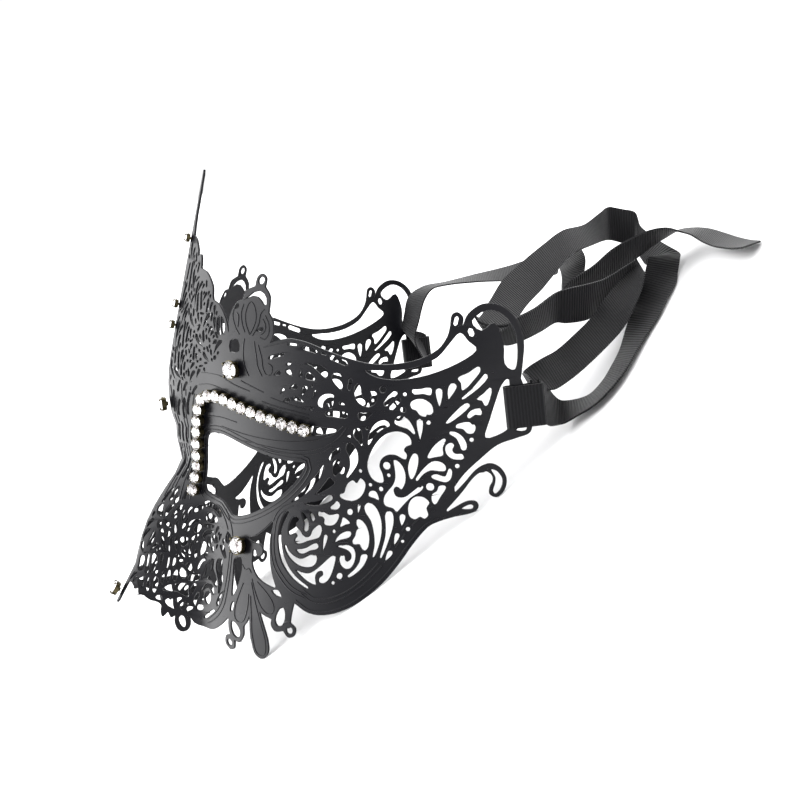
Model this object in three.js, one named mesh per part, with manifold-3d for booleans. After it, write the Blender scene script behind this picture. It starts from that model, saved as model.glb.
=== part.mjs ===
// A metal masquerade mask: one thin sheet, cut through with scrollwork and pressed to a face,
// with claw-set crystals and two loose ribbons. It lies leaning back on its lower edges.
// Millimetres, +Z up, the face towards -Y, the wearer's left towards +X.
import * as THREE from 'three';
import { mergeVertices } from 'three/addons/utils/BufferGeometryUtils.js';
import Module from 'manifold-3d';

const wasm = await Module();
wasm.setup();

// Driving dimensions of the sheet
const sheetThickness = 0.8;
const planRadius = 130;
const ridgeAngle = THREE.MathUtils.degToRad(22);
const crownHeight = 95;
const leanBack = THREE.MathUtils.degToRad(34);
const bridgePlace = new THREE.Vector3(0, -66.2, 65.4);
const bendLines = { x: [8, 17, 26, 56, 95], y: [-33.1, -15.1, -6.1, 4.1, 20.1] };

// Driving dimensions of the crystals and the ribbons
const largeRadius = 3;
const smallRadius = 2.1;
const crestRadius = 2.4;
const foreheadRadius = 1.4;
const crestLift = 1.1;
const cupWall = 0.45;
const rowCupHeight = 0.8;
const rowCount = 20;
const rowStart = 2;
const rowLift = 0.4;
const ribbonWidth = 13;
const ribbonThickness = 0.6;
const clearance = 0.3;

const blackCoat = { color: 0x1c1c1f, roughness: 0.42, metalness: 0.35 };
const clearCrystal = { color: 0xf2f5f8, roughness: 0.05, metalness: 0 };
const claspMetal = { color: 0x9c8652, roughness: 0.35, metalness: 0.9 };
const blackGrosgrain = { color: 0x141416, roughness: 0.85, metalness: 0 };

const smooth = (x) => THREE.MathUtils.smoothstep(x, 0, 1);

// The pressed form. u is the distance along the sheet from the centre line, v the height on it.
function centreLine(v) {
  const noseDip = 6;
  const hump = (x) => Math.max(0, 1 - x * x) ** 1.3;
  const bulge = 3.6 * hump((v + 22) / 17) + 1.8 * hump((v - 1.5) / 7);
  if (v < 0) return -0.68 * (Math.hypot(v, noseDip) - noseDip) - bulge;
  const rise = v - 25;
  return -2.9 * smooth(v / 15) + 0.165 * (rise + Math.hypot(rise, noseDip)) - bulge;
}

function formed(u, v) {
  const a = Math.abs(u);
  const turn = ridgeAngle + a / planRadius;
  const x = planRadius * (Math.sin(turn) - Math.sin(ridgeAngle));
  const back = planRadius * (Math.cos(ridgeAngle) - Math.cos(turn));
  const ridge = 1 - smooth(a / (23 + 3 * Math.tanh(v / 10)));
  const foreheadLean = 0.0032 * Math.max(0, v - 15) ** 2;
  const cheekSwell = -10 * smooth((-v - 12) / 50) * (1 - smooth((a - 75) / 45));
  const y = back + centreLine(v) * ridge + (foreheadLean + cheekSwell) * (1 - ridge);
  return new THREE.Vector3(Math.sign(u) * x, y, v);
}

function outward(u, v) {
  const step = 0.05;
  const side = Math.max(Math.abs(u), step);
  const across = formed(side + step, v).sub(formed(side - step, v));
  const up = formed(side, v + step).sub(formed(side, v - step));
  const normal = across.cross(up).normalize();
  if (u < 0) normal.x = -normal.x;
  if (u === 0) {
    normal.x = 0;
    normal.divideScalar(normal.lengthSq());
  }
  return normal;
}

// Where something stands on the sheet: its own +Z is the sheet's outward normal there.
function placeOnSheet(object, u, v, lift) {
  const normal = outward(u, v).normalize();
  const across = new THREE.Vector3(0, 0, 1).cross(normal).normalize();
  const up = normal.clone().cross(across);
  object.quaternion.setFromRotationMatrix(new THREE.Matrix4().makeBasis(across, up, normal));
  object.position.copy(formed(u, v)).addScaledVector(normal, lift);
  return object;
}

// Closed outlines in the flat
function curveThrough(points) {
  const corners = points.map(([u, v]) => new THREE.Vector2(u, v));
  return new THREE.SplineCurve(corners).getPoints(points.length - 1);
}

function loopThrough(points) {
  return curveThrough([...points, points[0]]).slice(0, -1);
}

function circle(u, v, radius, sides = 6) {
  return new THREE.EllipseCurve(u, v, radius, radius).getPoints(sides).slice(0, -1);
}

// A curved teardrop from its pointed tail to its round head; bend is the sag of its spine.
function teardrop([tailU, tailV, headU, headV, width, bend]) {
  const steps = 2;
  const tail = new THREE.Vector2(tailU, tailV);
  const run = new THREE.Vector2(headU, headV).sub(tail);
  const sideways = new THREE.Vector2(-run.y, run.x).normalize();
  const widest = 1 - width / 2 / run.length();
  const outline = [];
  for (let i = -steps; i <= steps; i += 1) {
    const along = 1 - Math.abs(i) / (steps + 0.5);
    const reach = along < widest ? Math.sin((along / widest) * Math.PI / 2)
      : Math.sqrt(Math.max(0, 1 - ((along - widest) / (1 - widest)) ** 2));
    const half = Math.sign(i) * reach * width / 2;
    const sag = bend * 4 * along * (1 - along);
    outline.push(tail.clone().addScaledVector(run, along).addScaledVector(sideways, sag + half));
  }
  outline.push(tail);
  return outline;
}

// The outline of the wearer's left half, from the crown's tip round the wing to the nose
const crown = [[0, crownHeight], [0.9, crownHeight - 3], [1.4, 79], [2.5, 73]];
const foreheadScallops = [
  [[2.5, 73], [5.5, 71.5], [9, 68]],
  [[9.5, 66], [12.5, 66.5], [14.2, 63.5]],
  [[14.5, 62], [20, 60.5], [24.5, 56.5], [25.5, 53]],
  [[26, 51.5], [30, 49.5], [33.5, 45], [35, 41]],
];
const fanFinial = [
  [[35, 41], [35, 46], [38, 50.5], [40.5, 51]],
  [[40.5, 51], [42, 54], [45.7, 55.2]],
  [[45.7, 55.2], [46.2, 58], [48.3, 59], [50.4, 57.4], [50.3, 54.7]],
  [[50.3, 54.7], [52.8, 51.5], [52.8, 46.5]],
  [[52.8, 46.5], [54.8, 43.5], [55, 39.5], [54, 37]],
];
const topRail = [[54, 37], [60, 38], [67, 36.8], [74, 34], [81, 31.2], [89, 28.7], [97, 27.8], [105, 28.6],
  [111, 31], [114, 34.6], [114.9, 38]];
const leafLoop = [[114.9, 38], [115.2, 41], [117, 41.8], [118.9, 40], [118.8, 37.4]];
const hookArc = [[118.8, 37.4], [120.3, 41], [124.5, 43.4], [130, 42.4], [135, 38], [137.6, 31], [137.2, 24.5],
  [136.3, 19.5]];
const rearEdge = [[136.3, 19.5], [138.4, 12], [138.5, 6], [137.4, 2.4], [133, 1.2], [127, -0.3], [121, -4.3],
  [112.4, -12.6]];
const scrollTail = [[112.4, -13.8], [119, -7.7], [124.8, -5.8], [128.8, -11], [125.2, -16.6], [123, -15.4],
  [124.3, -11], [122.8, -8.2], [109.2, -19.2]];
const teardropTail = [[109.4, -19.8], [116, -16.9], [119.3, -18.7], [115.5, -21.1], [111.8, -21.5]];
const cheekEdge = [[111.8, -21.5], [103, -24.4], [98.5, -29.5], [94, -36.5], [89, -43], [82.5, -48.4], [75, -51.2],
  [67.5, -51], [61.5, -48]];
const cheekRings = [
  [[61.5, -48], [60.9, -51.5], [60.6, -54.6]],
  [[60.6, -54.6], [62.7, -56.4], [61.9, -59], [59.3, -59.6], [57.6, -57.6]],
  [[57.6, -57.6], [54.2, -58], [52.4, -56], [52.6, -53.8]],
];
const dropLeaves = [
  [[52.6, -53.8], [50, -53.2], [47.6, -52.2]],
  [[47.6, -52.2], [49.6, -57], [50.8, -61.5], [50.2, -66], [46.8, -68.4], [43.6, -66.4], [42.9, -60],
    [42.9, -54]],
  [[42.9, -54], [42, -55.8], [40.2, -57.8]],
];
const noseRings = [
  [[40.2, -57.8], [39.8, -61], [37.2, -63.8], [34.8, -63.4]],
  [[34.8, -63.4], [34.2, -66.3], [31.6, -67], [29.6, -65], [30.4, -62.2], [32.6, -61.8]],
  [[32.6, -61.8], [32.2, -58.5], [32.4, -55.8]],
];
const noseEdge = [
  [[32.4, -55.8], [28, -59.2], [22.5, -61.6], [17, -60.6], [15.5, -57.7]],
  [[15.5, -57.7], [15.6, -60.2], [14.2, -62.9], [12.9, -59], [12.9, -57]],
  [[12.9, -57], [10.6, -55.2], [9.6, -52.2], [6.4, -48.9], [3.3, -45.6], [1.5, -44.6]],
  [[1.5, -44.6], [1.2, -50.4], [0, -51.6]],
];

const stretches = [crown, ...foreheadScallops, ...fanFinial, topRail, leafLoop, hookArc, rearEdge, scrollTail,
  teardropTail, cheekEdge, ...cheekRings, ...dropLeaves, ...noseRings, ...noseEdge];

function halfOutline() {
  const outline = stretches.flatMap((points) => curveThrough(points));
  return outline.filter((point, i) => i === 0 || point.distanceTo(outline[i - 1]) > 0.05).reverse();
}

// The larger openings of the left half: the finer piercing belongs to the surface finish.
const eyeHole = [[17.7, 0.6], [19.6, 5.5], [23.2, 6.7], [29, 6.1], [38.6, 2.9], [49.4, -0.4], [57.5, -1.7],
  [62.9, -2.4], [60.8, -6.2], [55.2, -11], [46.9, -16.2], [37.6, -20.1], [29.6, -21.6], [26.2, -19.6],
  [23, -17], [18.6, -15.6], [15.6, -13.4], [15.9, -6.6]];
const railCrescent = [[88, 26.6], [96, 25.9], [104, 26.2], [111, 28.6], [115, 32.6], [118, 35.4], [120.6, 32.6],
  [123, 29.6], [117, 26], [108, 23.4], [99, 22.6], [92, 23.8]];
const hookOpening = [[121.6, 38.6], [126, 41.4], [131, 39.6], [134.6, 34.6], [135.6, 28], [134.6, 22.4],
  [131.6, 24.6], [131.4, 31], [128.6, 37.4], [124.6, 35.4]];
const ribbonSlot = [[132.6, 19.4], [131.4, 3.4], [124.2, 3], [127.4, 10], [130.4, 18]];
const browWindow = [[36, 34.4], [36, 38], [39.4, 38.4], [40.2, 34.6]];
const noseSlit = [[32.4, -35.8], [36, -35.4], [36.6, -41], [33.7, -47.8], [33.2, -43]];
const cheekGap = [[39.8, -28.4], [44, -26.2], [49, -22], [47.8, -28], [48.6, -34.4], [51.2, -40],
  [53.4, -43.2], [50, -42.2], [45.6, -40.2], [42, -37], [41.2, -33.8], [43, -32.2], [43.8, -34.2], [45.8, -33.4],
  [46, -30.8], [43.2, -29.4], [40.6, -30]];
const bigComma = [[88, -7.6], [86.6, -1], [88.6, 3.8], [94, 6.6], [99, 5.2], [100.4, 1.4], [98.6, -2.4],
  [96.6, 0.4], [91.6, -0.6], [90, -4.6]];

// Each row: tail u, tail v, head u, head v, width of the head, bend
const teardrops = [
  [97, -10.6, 92, -3.6, 3.2, -1.8],
  [83.2, -36.6, 81.4, -21.8, 3.8, -0.8],
  [98, -17, 103.4, -18.6, 5, 0],
  [100.6, 12.4, 107.6, 14.8, 5, -1],
  [70, 17.4, 76.2, 19.4, 4.6, -1.4],
  [53.4, -22, 63.8, -41, 2.8, -5],
  [66.2, -39, 73.6, -34.8, 4.6, 0],
  [18, -36, 26.4, -44, 4.4, 2.4],
  [16, 34, 26, 39.6, 4.4, -1.4],
];
const rings = [[48.3, 56.8, 1.2], [60.2, -57.2, 1.2], [56.2, -53.8, 1.9], [36.2, -60.2, 1.9], [32, -64.5, 1.2]];

function halfPattern() {
  const shape = new THREE.Shape(halfOutline());
  const openings = [
    ...[eyeHole, railCrescent, hookOpening, browWindow, noseSlit, cheekGap, bigComma].map((points) => loopThrough(points)),
    ribbonSlot.map(([u, v]) => new THREE.Vector2(u, v)),
    ...teardrops.map((row) => teardrop(row)),
    ...rings.map(([u, v, radius]) => circle(u, v, radius)),
  ];
  shape.holes = openings.map((points) => new THREE.Path(points));
  return shape;
}

// Splits every triangle that crosses the line where the given coordinate has the given value.
function splitAlong(triangles, axis, at) {
  const split = [];
  for (const triangle of triangles) {
    const sides = triangle.map((corner) => Math.sign(Math.round((corner[axis] - at) * 1e5)));
    if (!sides.includes(1) || !sides.includes(-1)) {
      split.push(triangle);
      continue;
    }
    for (const keep of [1, -1]) {
      const polygon = [];
      triangle.forEach((corner, i) => {
        const next = triangle[(i + 1) % 3];
        if (sides[i] !== -keep) polygon.push(corner);
        if (sides[i] * sides[(i + 1) % 3] < 0) {
          polygon.push(corner.clone().lerp(next, (at - corner[axis]) / (next[axis] - corner[axis])));
        }
      });
      for (let i = 2; i < polygon.length; i += 1) split.push([polygon[0], polygon[i - 1], polygon[i]]);
    }
  }
  return split;
}

// The flat half is split along its bend lines, pressed to the form and mirrored across the centre line.
function metalSheet() {
  const depth = { depth: sheetThickness, bevelEnabled: false, steps: 1 };
  const place = new THREE.ExtrudeGeometry(halfPattern(), depth).getAttribute('position');
  let triangles = [];
  for (let i = 0; i < place.count; i += 3) {
    triangles.push([i, i + 1, i + 2].map((k) => new THREE.Vector3().fromBufferAttribute(place, k)));
  }
  for (const [axis, lines] of Object.entries(bendLines)) {
    for (const at of lines) triangles = splitAlong(triangles, axis, at);
  }
  const onCentre = (corner) => Math.abs(corner.x) < 1e-5;
  const faces = [];
  for (const triangle of triangles.filter((corners) => !corners.every(onCentre))) {
    const pressed = triangle.map((corner) => {
      const u = onCentre(corner) ? 0 : corner.x;
      return formed(u, corner.y).addScaledVector(outward(u, corner.y), corner.z - sheetThickness);
    });
    const mirrored = pressed.map((corner) => new THREE.Vector3(-corner.x, corner.y, corner.z));
    faces.push(...pressed, mirrored[0], mirrored[2], mirrored[1]);
  }
  const sheet = mergeVertices(new THREE.BufferGeometry().setFromPoints(faces), 1e-4);
  const corners = Array.from(sheet.index.array);
  const whole = corners.filter((corner, i) => {
    const [a, b, c] = corners.slice(i - (i % 3), i - (i % 3) + 3);
    return a !== b && b !== c && a !== c;
  });
  return sheet.setIndex(whole);
}

// Joins overlapping closed geometries into one solid.
function joined(geometries) {
  const solids = geometries.map((geometry) => {
    geometry.deleteAttribute('normal');
    geometry.deleteAttribute('uv');
    const merged = mergeVertices(geometry, 1e-4);
    const vertProperties = new Float32Array(merged.getAttribute('position').array);
    const triVerts = new Uint32Array(merged.index.array);
    return new wasm.Manifold(new wasm.Mesh({ numProp: 3, vertProperties, triVerts }));
  });
  const mesh = solids.reduce((whole, solid) => whole.add(solid)).getMesh();
  const solid = new THREE.BufferGeometry();
  solid.setAttribute('position', new THREE.BufferAttribute(mesh.vertProperties, 3));
  return solid.setIndex(new THREE.BufferAttribute(mesh.triVerts, 1));
}

function turned(profile, sides) {
  const points = profile.map(([r, z]) => new THREE.Vector2(r, z));
  return new THREE.LatheGeometry(points, sides).rotateX(Math.PI / 2);
}

// Crystals: a table, a girdle and a pointed back, in a cup
function crystalGeometry(radius, sides) {
  return turned([[0, -0.5 * radius], [0.94 * radius, 0], [0.6 * radius, 0.42 * radius], [0, 0.42 * radius]], sides);
}

function cupGeometry(radius) {
  const outer = radius + cupWall;
  const top = radius / 2 + 0.35;
  return turned([[0, 0], [outer * 0.8, 0], [outer, top], [radius + 0.1, top], [radius / 2, 0.3], [0, 0.3]], 8);
}

function addMesh(parent, name, geometry, finish) {
  const mesh = new THREE.Mesh(geometry, new THREE.MeshStandardMaterial(finish));
  mesh.name = name;
  parent.add(mesh);
  return mesh;
}

function addSetCrystal(parent, name, u, v, radius, lift = clearance) {
  const setting = placeOnSheet(new THREE.Group(), u, v, lift);
  addMesh(setting, `${name}_cup`, cupGeometry(radius), claspMetal);
  const stone = addMesh(setting, `${name}_crystal`, crystalGeometry(radius, 8), clearCrystal);
  stone.position.z = 0.3 + clearance + radius / 2;
  parent.add(setting);
}

// The row of small crystals runs up the side of the nose and out along the brow, in cups that touch.
// The cups run the whole way, and the first two places of the row stay bare.
const rowLine = [[12.2, -13.7], [13, -7], [14.6, 0.5], [16.4, 7.5], [18.6, 14], [21, 18.2], [25.1, 19.8],
  [30.4, 19.6], [35.2, 18.2], [40.1, 16.6], [46, 14.6], [56, 11.5], [65.8, 8.8]];

function addCrystalRow(parent, side, hand) {
  const line = new THREE.SplineCurve(rowLine.map(([u, v]) => new THREE.Vector2(u * hand, v)));
  const places = line.getSpacedPoints(rowCount - 1);
  const lift = rowLift + rowCupHeight / 2;
  const edges = places.map((place, i) => {
    const along = line.getTangentAt(i / (rowCount - 1));
    return [-1, 1].map((edge) => {
      const [u, v] = [place.x - along.y * edge * smallRadius, place.y + along.x * edge * smallRadius];
      return formed(u, v).addScaledVector(outward(u, v).normalize(), lift).toArray();
    });
  });
  addMesh(parent, `${side}_row_cups`, strip(edges, 2 * smallRadius, rowCupHeight, 1), claspMetal);
  places.slice(rowStart).forEach(({ x, y }, i) => {
    const name = `${side}_row_crystal_${String(i + 1).padStart(2, '0')}`;
    const stone = addMesh(parent, name, crystalGeometry(smallRadius, 6), clearCrystal);
    placeOnSheet(stone, x, y, rowLift + rowCupHeight + clearance + smallRadius / 2);
  });
}

// The ribbons. Each row is a place along a strip, as the two edges of the ribbon there.
const leftLoop = [
  [[80.3, 99.6, 20.1], [80.3, 92.8, 9.7]], [[65.3, 103.3, 5.4], [76.4, 96.9, 3.5]],
  [[66.2, 106.5, 3], [78.4, 102, 2.6]], [[68.7, 110.8, 1.7], [81.5, 108.5, 2.4]],
  [[67, 117, 1.4], [79.9, 115.8, 2.2]], [[62, 123.8, 1.5], [75, 123.8, 1.8]],
  [[55, 130.7, 1.4], [68, 131.9, 1.6]], [[48.3, 136.9, 2.2], [60.8, 140.1, 1.2]],
  [[42.6, 143.2, 3.6], [54, 148.9, 1]], [[35, 150.9, 4.3], [45.3, 158.2, 1]],
  [[32.5, 157.6, 7.5], [32.4, 168.6, 0.6]], [[27.7, 163.6, 9.4], [26.2, 174.1, 1.9]],
  [[24.2, 166.2, 9.8], [22.2, 176.5, 2.1]], [[22.7, 164.5, 7.9], [18.5, 176.4, 4.9]],
  [[17.6, 165.8, 9.3], [10.2, 176.5, 9.3]], [[13.5, 167.6, 11.4], [4.8, 176.5, 15]],
  [[5.6, 169.9, 11.1], [1.8, 179.2, 19.4]], [[2.6, 168.2, 13.9], [-1.2, 176.9, 22.8]],
  [[1.6, 165.7, 17.6], [-3.2, 174.1, 26.2]], [[8.8, 161.2, 21.1], [1.3, 169.3, 27.9]],
  [[20.3, 154.2, 25.6], [9.4, 159.3, 30.4]], [[28.4, 145.4, 29.8], [17.8, 149.6, 36]],
  [[35.3, 137, 31.1], [24.9, 139.6, 38.4]], [[43.9, 126.2, 31.7], [34.8, 126.7, 41]],
  [[52, 117.4, 33.1], [43.1, 117.2, 42.6]], [[62.3, 108.4, 34.3], [52, 108, 42.3]],
  [[70.5, 99.7, 36.7], [58.8, 101.2, 42.1]], [[56.1, 99.6, 32.5], [64.9, 99.5, 42.1]],
  [[56.6, 103.1, 28.6], [66.4, 104.4, 37]], [[54.3, 109.6, 25.4], [63, 109.6, 35.1]],
  [[48.2, 115.7, 22.4], [57, 117.4, 31.8]], [[42.5, 122.9, 19.4], [50, 127.2, 29.1]],
  [[43.2, 124.9, 17.3], [48.6, 131, 27.4]], [[40.9, 131, 12.9], [44.9, 138.3, 22.9]],
  [[35.1, 138, 9.8], [41, 144.8, 19.2]], [[31.2, 145.8, 7.2], [36.9, 152.6, 16.7]],
  [[26.5, 153.7, 5.4], [33.7, 159.2, 14.8]],
];
const leftEnd = [
  [[79.2, 97.9, 21.2], [79.2, 91.1, 10.8]], [[64.3, 100.5, 20.7], [75.6, 99.2, 14.4]],
  [[62.4, 107, 19.4], [72.4, 104, 11.6]], [[57.6, 113.7, 16.6], [68.2, 111.4, 9.4]],
  [[53.3, 121.5, 15.2], [63.9, 119.5, 7.9]], [[47.3, 132.6, 14], [57.6, 130.4, 6.4]],
  [[44.6, 139.5, 14.8], [54, 137.3, 6.1]], [[39.3, 146.7, 14.3], [50, 144.4, 7.3]],
  [[34.2, 153.8, 13.6], [45.9, 150.9, 8.8]], [[29.4, 161.2, 13.4], [41.6, 157, 11.3]],
];
const rightLoop = [
  [[-80.3, 99.6, 20.1], [-80.3, 92.8, 9.7]], [[-77.5, 93.4, 28.2], [-65.1, 93, 24.4]],
  [[-75.3, 98.7, 34.4], [-63, 99.7, 30.3]], [[-74.2, 104, 38.3], [-61.7, 106.2, 35.1]],
  [[-70.8, 110.5, 38.3], [-57.9, 110.8, 37.3]], [[-61.8, 118.2, 34.9], [-49.1, 115.5, 36.4]],
  [[-53.8, 127.3, 31.1], [-41.3, 123.7, 31.3]], [[-42.1, 133.1, 29.3], [-29.9, 129, 27.9]],
  [[-31.3, 138.1, 28.1], [-19.8, 132.6, 25.4]], [[-20.3, 144.5, 27], [-9.6, 138.3, 22.9]],
  [[-9.5, 150.5, 26.6], [-0.8, 142.4, 21.3]], [[1, 154.6, 24.3], [6.6, 142.9, 25.1]],
  [[8.5, 152.5, 21.1], [13.7, 141.2, 25]], [[13.6, 147.3, 18.3], [21, 138.3, 24.2]],
  [[19.4, 141, 16.1], [28.2, 134.3, 23.1]], [[23.2, 137.9, 14.9], [32.5, 131.9, 21.8]],
  [[29.8, 134.1, 14.6], [39.6, 128.7, 21.2]],
];
const rightTail = [
  [[27.7, 129.1, 14.3], [35, 132.9, 24.3]], [[26.2, 133.6, 14.3], [33.2, 137.9, 24.4]],
  [[22.5, 142.8, 11.9], [29.2, 147.6, 22]], [[20.3, 153.2, 11.6], [27.8, 157.2, 21.4]],
  [[20.4, 162.6, 11.3], [29.7, 165.1, 20]], [[20.7, 170.7, 10.8], [31.5, 171, 18.1]],
  [[18.8, 177.3, 9.2], [30.5, 175.9, 14.7]], [[16.5, 183, 7.4], [28.7, 179.4, 10.1]],
  [[26.2, 185.5, 6.5], [37.2, 179, 9]], [[33.1, 186.9, 4.8], [42.9, 178.6, 6.8]],
  [[41.6, 187, 3], [50.6, 178, 5.4]], [[51.2, 186.5, 1.6], [59.8, 177.4, 5.2]],
  [[59.8, 186.1, 0.9], [68, 177.1, 5.4]], [[67.1, 186.1, 0.6], [75.1, 177.3, 5.8]],
];

// A flat strip of one width, following the middle and the slant of the given pairs of edge points
function strip(places, width, thickness, spans) {
  const edge = (k) => new THREE.CatmullRomCurve3(places.map((pair) => new THREE.Vector3(...pair[k])));
  const edges = [edge(0), edge(1)];
  const count = (places.length - 1) * spans;
  const sections = [];
  for (let i = 0; i <= count; i += 1) {
    const [first, second] = edges.map((curve) => curve.getPoint(i / count));
    const [before, after] = [Math.max(0, i - 1), Math.min(count, i + 1)].map((k) => {
      const ends = edges.map((curve) => curve.getPoint(k / count));
      return ends[0].add(ends[1]).divideScalar(2);
    });
    const across = second.clone().sub(first).normalize();
    const face = after.sub(before).cross(across).normalize().multiplyScalar(thickness / 2);
    const middle = first.add(second).divideScalar(2);
    const half = across.multiplyScalar(width / 2);
    const corners = [[-1, -1], [1, -1], [1, 1], [-1, 1]];
    sections.push(corners.map(([a, b]) => middle.clone().addScaledVector(half, a).addScaledVector(face, b)));
  }
  const faces = [];
  for (let i = 0; i < count; i += 1) {
    for (let k = 0; k < 4; k += 1) {
      const [a, b] = [sections[i][k], sections[i][(k + 1) % 4]];
      const [c, d] = [sections[i + 1][(k + 1) % 4], sections[i + 1][k]];
      faces.push(a, b, c, a, c, d);
    }
  }
  const [start, end] = [sections[0], sections[count]];
  faces.push(start[0], start[2], start[1], start[0], start[3], start[2]);
  faces.push(end[0], end[1], end[2], end[0], end[2], end[3]);
  return mergeVertices(new THREE.BufferGeometry().setFromPoints(faces), 1e-4);
}

function ribbonStrip(places) {
  return strip(places, ribbonWidth, ribbonThickness, 1).translate(0, bridgePlace.y, 0);
}

// The ribbon is wound round the bar at the wing's rear edge, as a flat sleeve.
function ribbonSleeve(hand) {
  const [front, back, reach, wall] = [-2.9, 8.4, 1.3, ribbonThickness];
  const box = (grow) => [[front - grow, -reach - grow], [back + grow, -reach - grow], [back + grow, reach + grow],
    [front - grow, reach + grow]].map(([a, b]) => new THREE.Vector2(a * hand, b - sheetThickness / 2));
  const shape = new THREE.Shape(box(wall));
  shape.holes = [new THREE.Path(box(0).reverse())];
  const sleeve = new THREE.ExtrudeGeometry(shape, { depth: ribbonWidth, bevelEnabled: false });
  sleeve.rotateX(Math.PI / 2).translate(0, ribbonWidth / 2, 0);
  const spot = placeOnSheet(new THREE.Object3D(), 134 * hand, 11, 0);
  const leaning = new THREE.Object3D();
  leaning.rotation.x = -leanBack;
  leaning.position.copy(bridgePlace);
  leaning.add(spot);
  spot.updateWorldMatrix(true, false);
  return sleeve.applyMatrix4(spot.matrixWorld);
}

// The mask leans back on its lower edges; the ribbons lie loose behind it.
const mask = new THREE.Group();
const leaning = new THREE.Group();
leaning.rotation.x = -leanBack;
leaning.position.copy(bridgePlace);
mask.add(leaning);
addMesh(leaning, 'metal_mask', metalSheet(), blackCoat);

const centreStones = { crown: [72, foreheadRadius], upper_forehead: [50, foreheadRadius],
  lower_forehead: [43, foreheadRadius], between_brows: [16, crestRadius], nose_tip: [-48, crestRadius] };
for (const [name, [v, radius]] of Object.entries(centreStones)) {
  addSetCrystal(leaning, name, 0, v, radius, radius === crestRadius ? crestLift : clearance);
}
for (const [side, hand] of [['left', 1], ['right', -1]]) {
  addSetCrystal(leaning, `${side}_brow`, 37.6 * hand, 28.6, largeRadius);
  addSetCrystal(leaning, `${side}_cheek`, 34.6 * hand, -31, largeRadius);
  addCrystalRow(leaning, side, hand);
}
const ribbons = { left: [leftLoop, leftEnd], right: [rightLoop, rightTail] };
for (const [side, strips] of Object.entries(ribbons)) {
  const sleeve = ribbonSleeve(side === 'left' ? 1 : -1);
  addMesh(mask, `${side}_ribbon`, joined([sleeve, ...strips.map(ribbonStrip)]), blackGrosgrain);
}

export default mask;
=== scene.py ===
import math

import bpy
from mathutils import Matrix, Vector


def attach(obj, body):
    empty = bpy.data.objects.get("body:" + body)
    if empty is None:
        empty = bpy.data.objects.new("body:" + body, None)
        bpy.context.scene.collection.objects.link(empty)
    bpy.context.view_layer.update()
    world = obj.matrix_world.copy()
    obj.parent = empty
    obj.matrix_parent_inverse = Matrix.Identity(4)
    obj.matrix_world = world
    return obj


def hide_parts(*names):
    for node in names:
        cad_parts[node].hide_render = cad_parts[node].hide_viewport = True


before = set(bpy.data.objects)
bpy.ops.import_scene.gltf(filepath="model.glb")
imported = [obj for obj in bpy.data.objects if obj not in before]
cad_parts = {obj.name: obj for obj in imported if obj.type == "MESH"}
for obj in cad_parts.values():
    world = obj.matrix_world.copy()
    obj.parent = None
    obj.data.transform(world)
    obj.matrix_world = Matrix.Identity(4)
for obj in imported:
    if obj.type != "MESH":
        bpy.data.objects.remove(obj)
bpy.ops.object.select_all(action="DESELECT")
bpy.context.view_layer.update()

# The camera looks along the mask from its left side, a little downwards.
# It is rolled by about 40 degrees. Its turn is given by where its right, top and back point.
camera_data = bpy.data.cameras.new("camera")
camera_data.lens = 58.2
camera_data.sensor_width = 36
camera_data.clip_start = 0.01
camera = bpy.data.objects.new("camera", camera_data)
bpy.context.scene.collection.objects.link(camera)
camera_right = Vector((0.19494, 0.74299, -0.64029))
camera_up = Vector((-0.13521, 0.66694, 0.73274))
camera_back = Vector((0.97145, -0.05627, 0.23047))
camera_turn = Matrix((camera_right, camera_up, camera_back)).transposed().to_4x4()
camera.matrix_world = Matrix.Translation((0.4567, -0.0242, 0.13382)) @ camera_turn
bpy.context.scene.camera = camera

# The floor is a plain white table that runs on into a white room. Its paint is matt, with a faint mottle.
# It lies a hair below the level that the solids stand on.
table_width = 16
table_drop = 0.00005


def new_material(name, values):
    """A material with plain values on its shader. Gives the material, its node tree and the shader."""
    material = bpy.data.materials.new(name)
    material.use_nodes = True
    tree = material.node_tree
    shader = tree.nodes["Principled BSDF"]
    for socket, value in values.items():
        shader.inputs[socket].default_value = value
    return material, tree, shader


def add_noise(tree, place, scale, detail=2):
    """A noise texture, read at a place or else over the piece's own box."""
    noise = tree.nodes.new("ShaderNodeTexNoise")
    noise.inputs["Scale"].default_value = scale
    noise.inputs["Detail"].default_value = detail
    if place:
        tree.links.new(place, noise.inputs["Vector"])
    return noise


def add_tones(tree, factor, dark, light, start=0, end=1):
    """A run from a dark tone to a light one as the factor goes from start to end."""
    tones = tree.nodes.new("ShaderNodeValToRGB")
    for element, tone, place in zip(tones.color_ramp.elements, (dark, light), (start, end)):
        element.color = (*tone, 1)
        element.position = place
    tree.links.new(factor, tones.inputs["Fac"])
    return tones.outputs["Color"]


bpy.ops.mesh.primitive_plane_add(size=table_width, location=(0, 0, -table_drop))
floor = bpy.context.object
floor.name = "floor"
floor_paint, paint_tree, paint = new_material("white_table", {"Roughness": 0.9, "Specular IOR Level": 0.1})
mottle = add_noise(paint_tree, None, 6)
mottle_tones = add_tones(paint_tree, mottle.outputs["Fac"], (0.74, 0.74, 0.75), (0.77, 0.77, 0.77))
paint_tree.links.new(mottle_tones, paint.inputs["Base Color"])
floor.data.materials.append(floor_paint)

# The light is a white room, darker on the wearer's left, with one large soft lamp in front of the face
# and one broad one overhead. Shadows fall softly towards the ribbons.


def add_range(tree, value, low, high, start=0, end=1):
    """Turns a value from start to end into one from low to high."""
    spread = tree.nodes.new("ShaderNodeMapRange")
    for socket, amount in (("From Min", start), ("From Max", end), ("To Min", low), ("To Max", high)):
        spread.inputs[socket].default_value = amount
    tree.links.new(value, spread.inputs["Value"])
    return spread.outputs["Result"]


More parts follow.
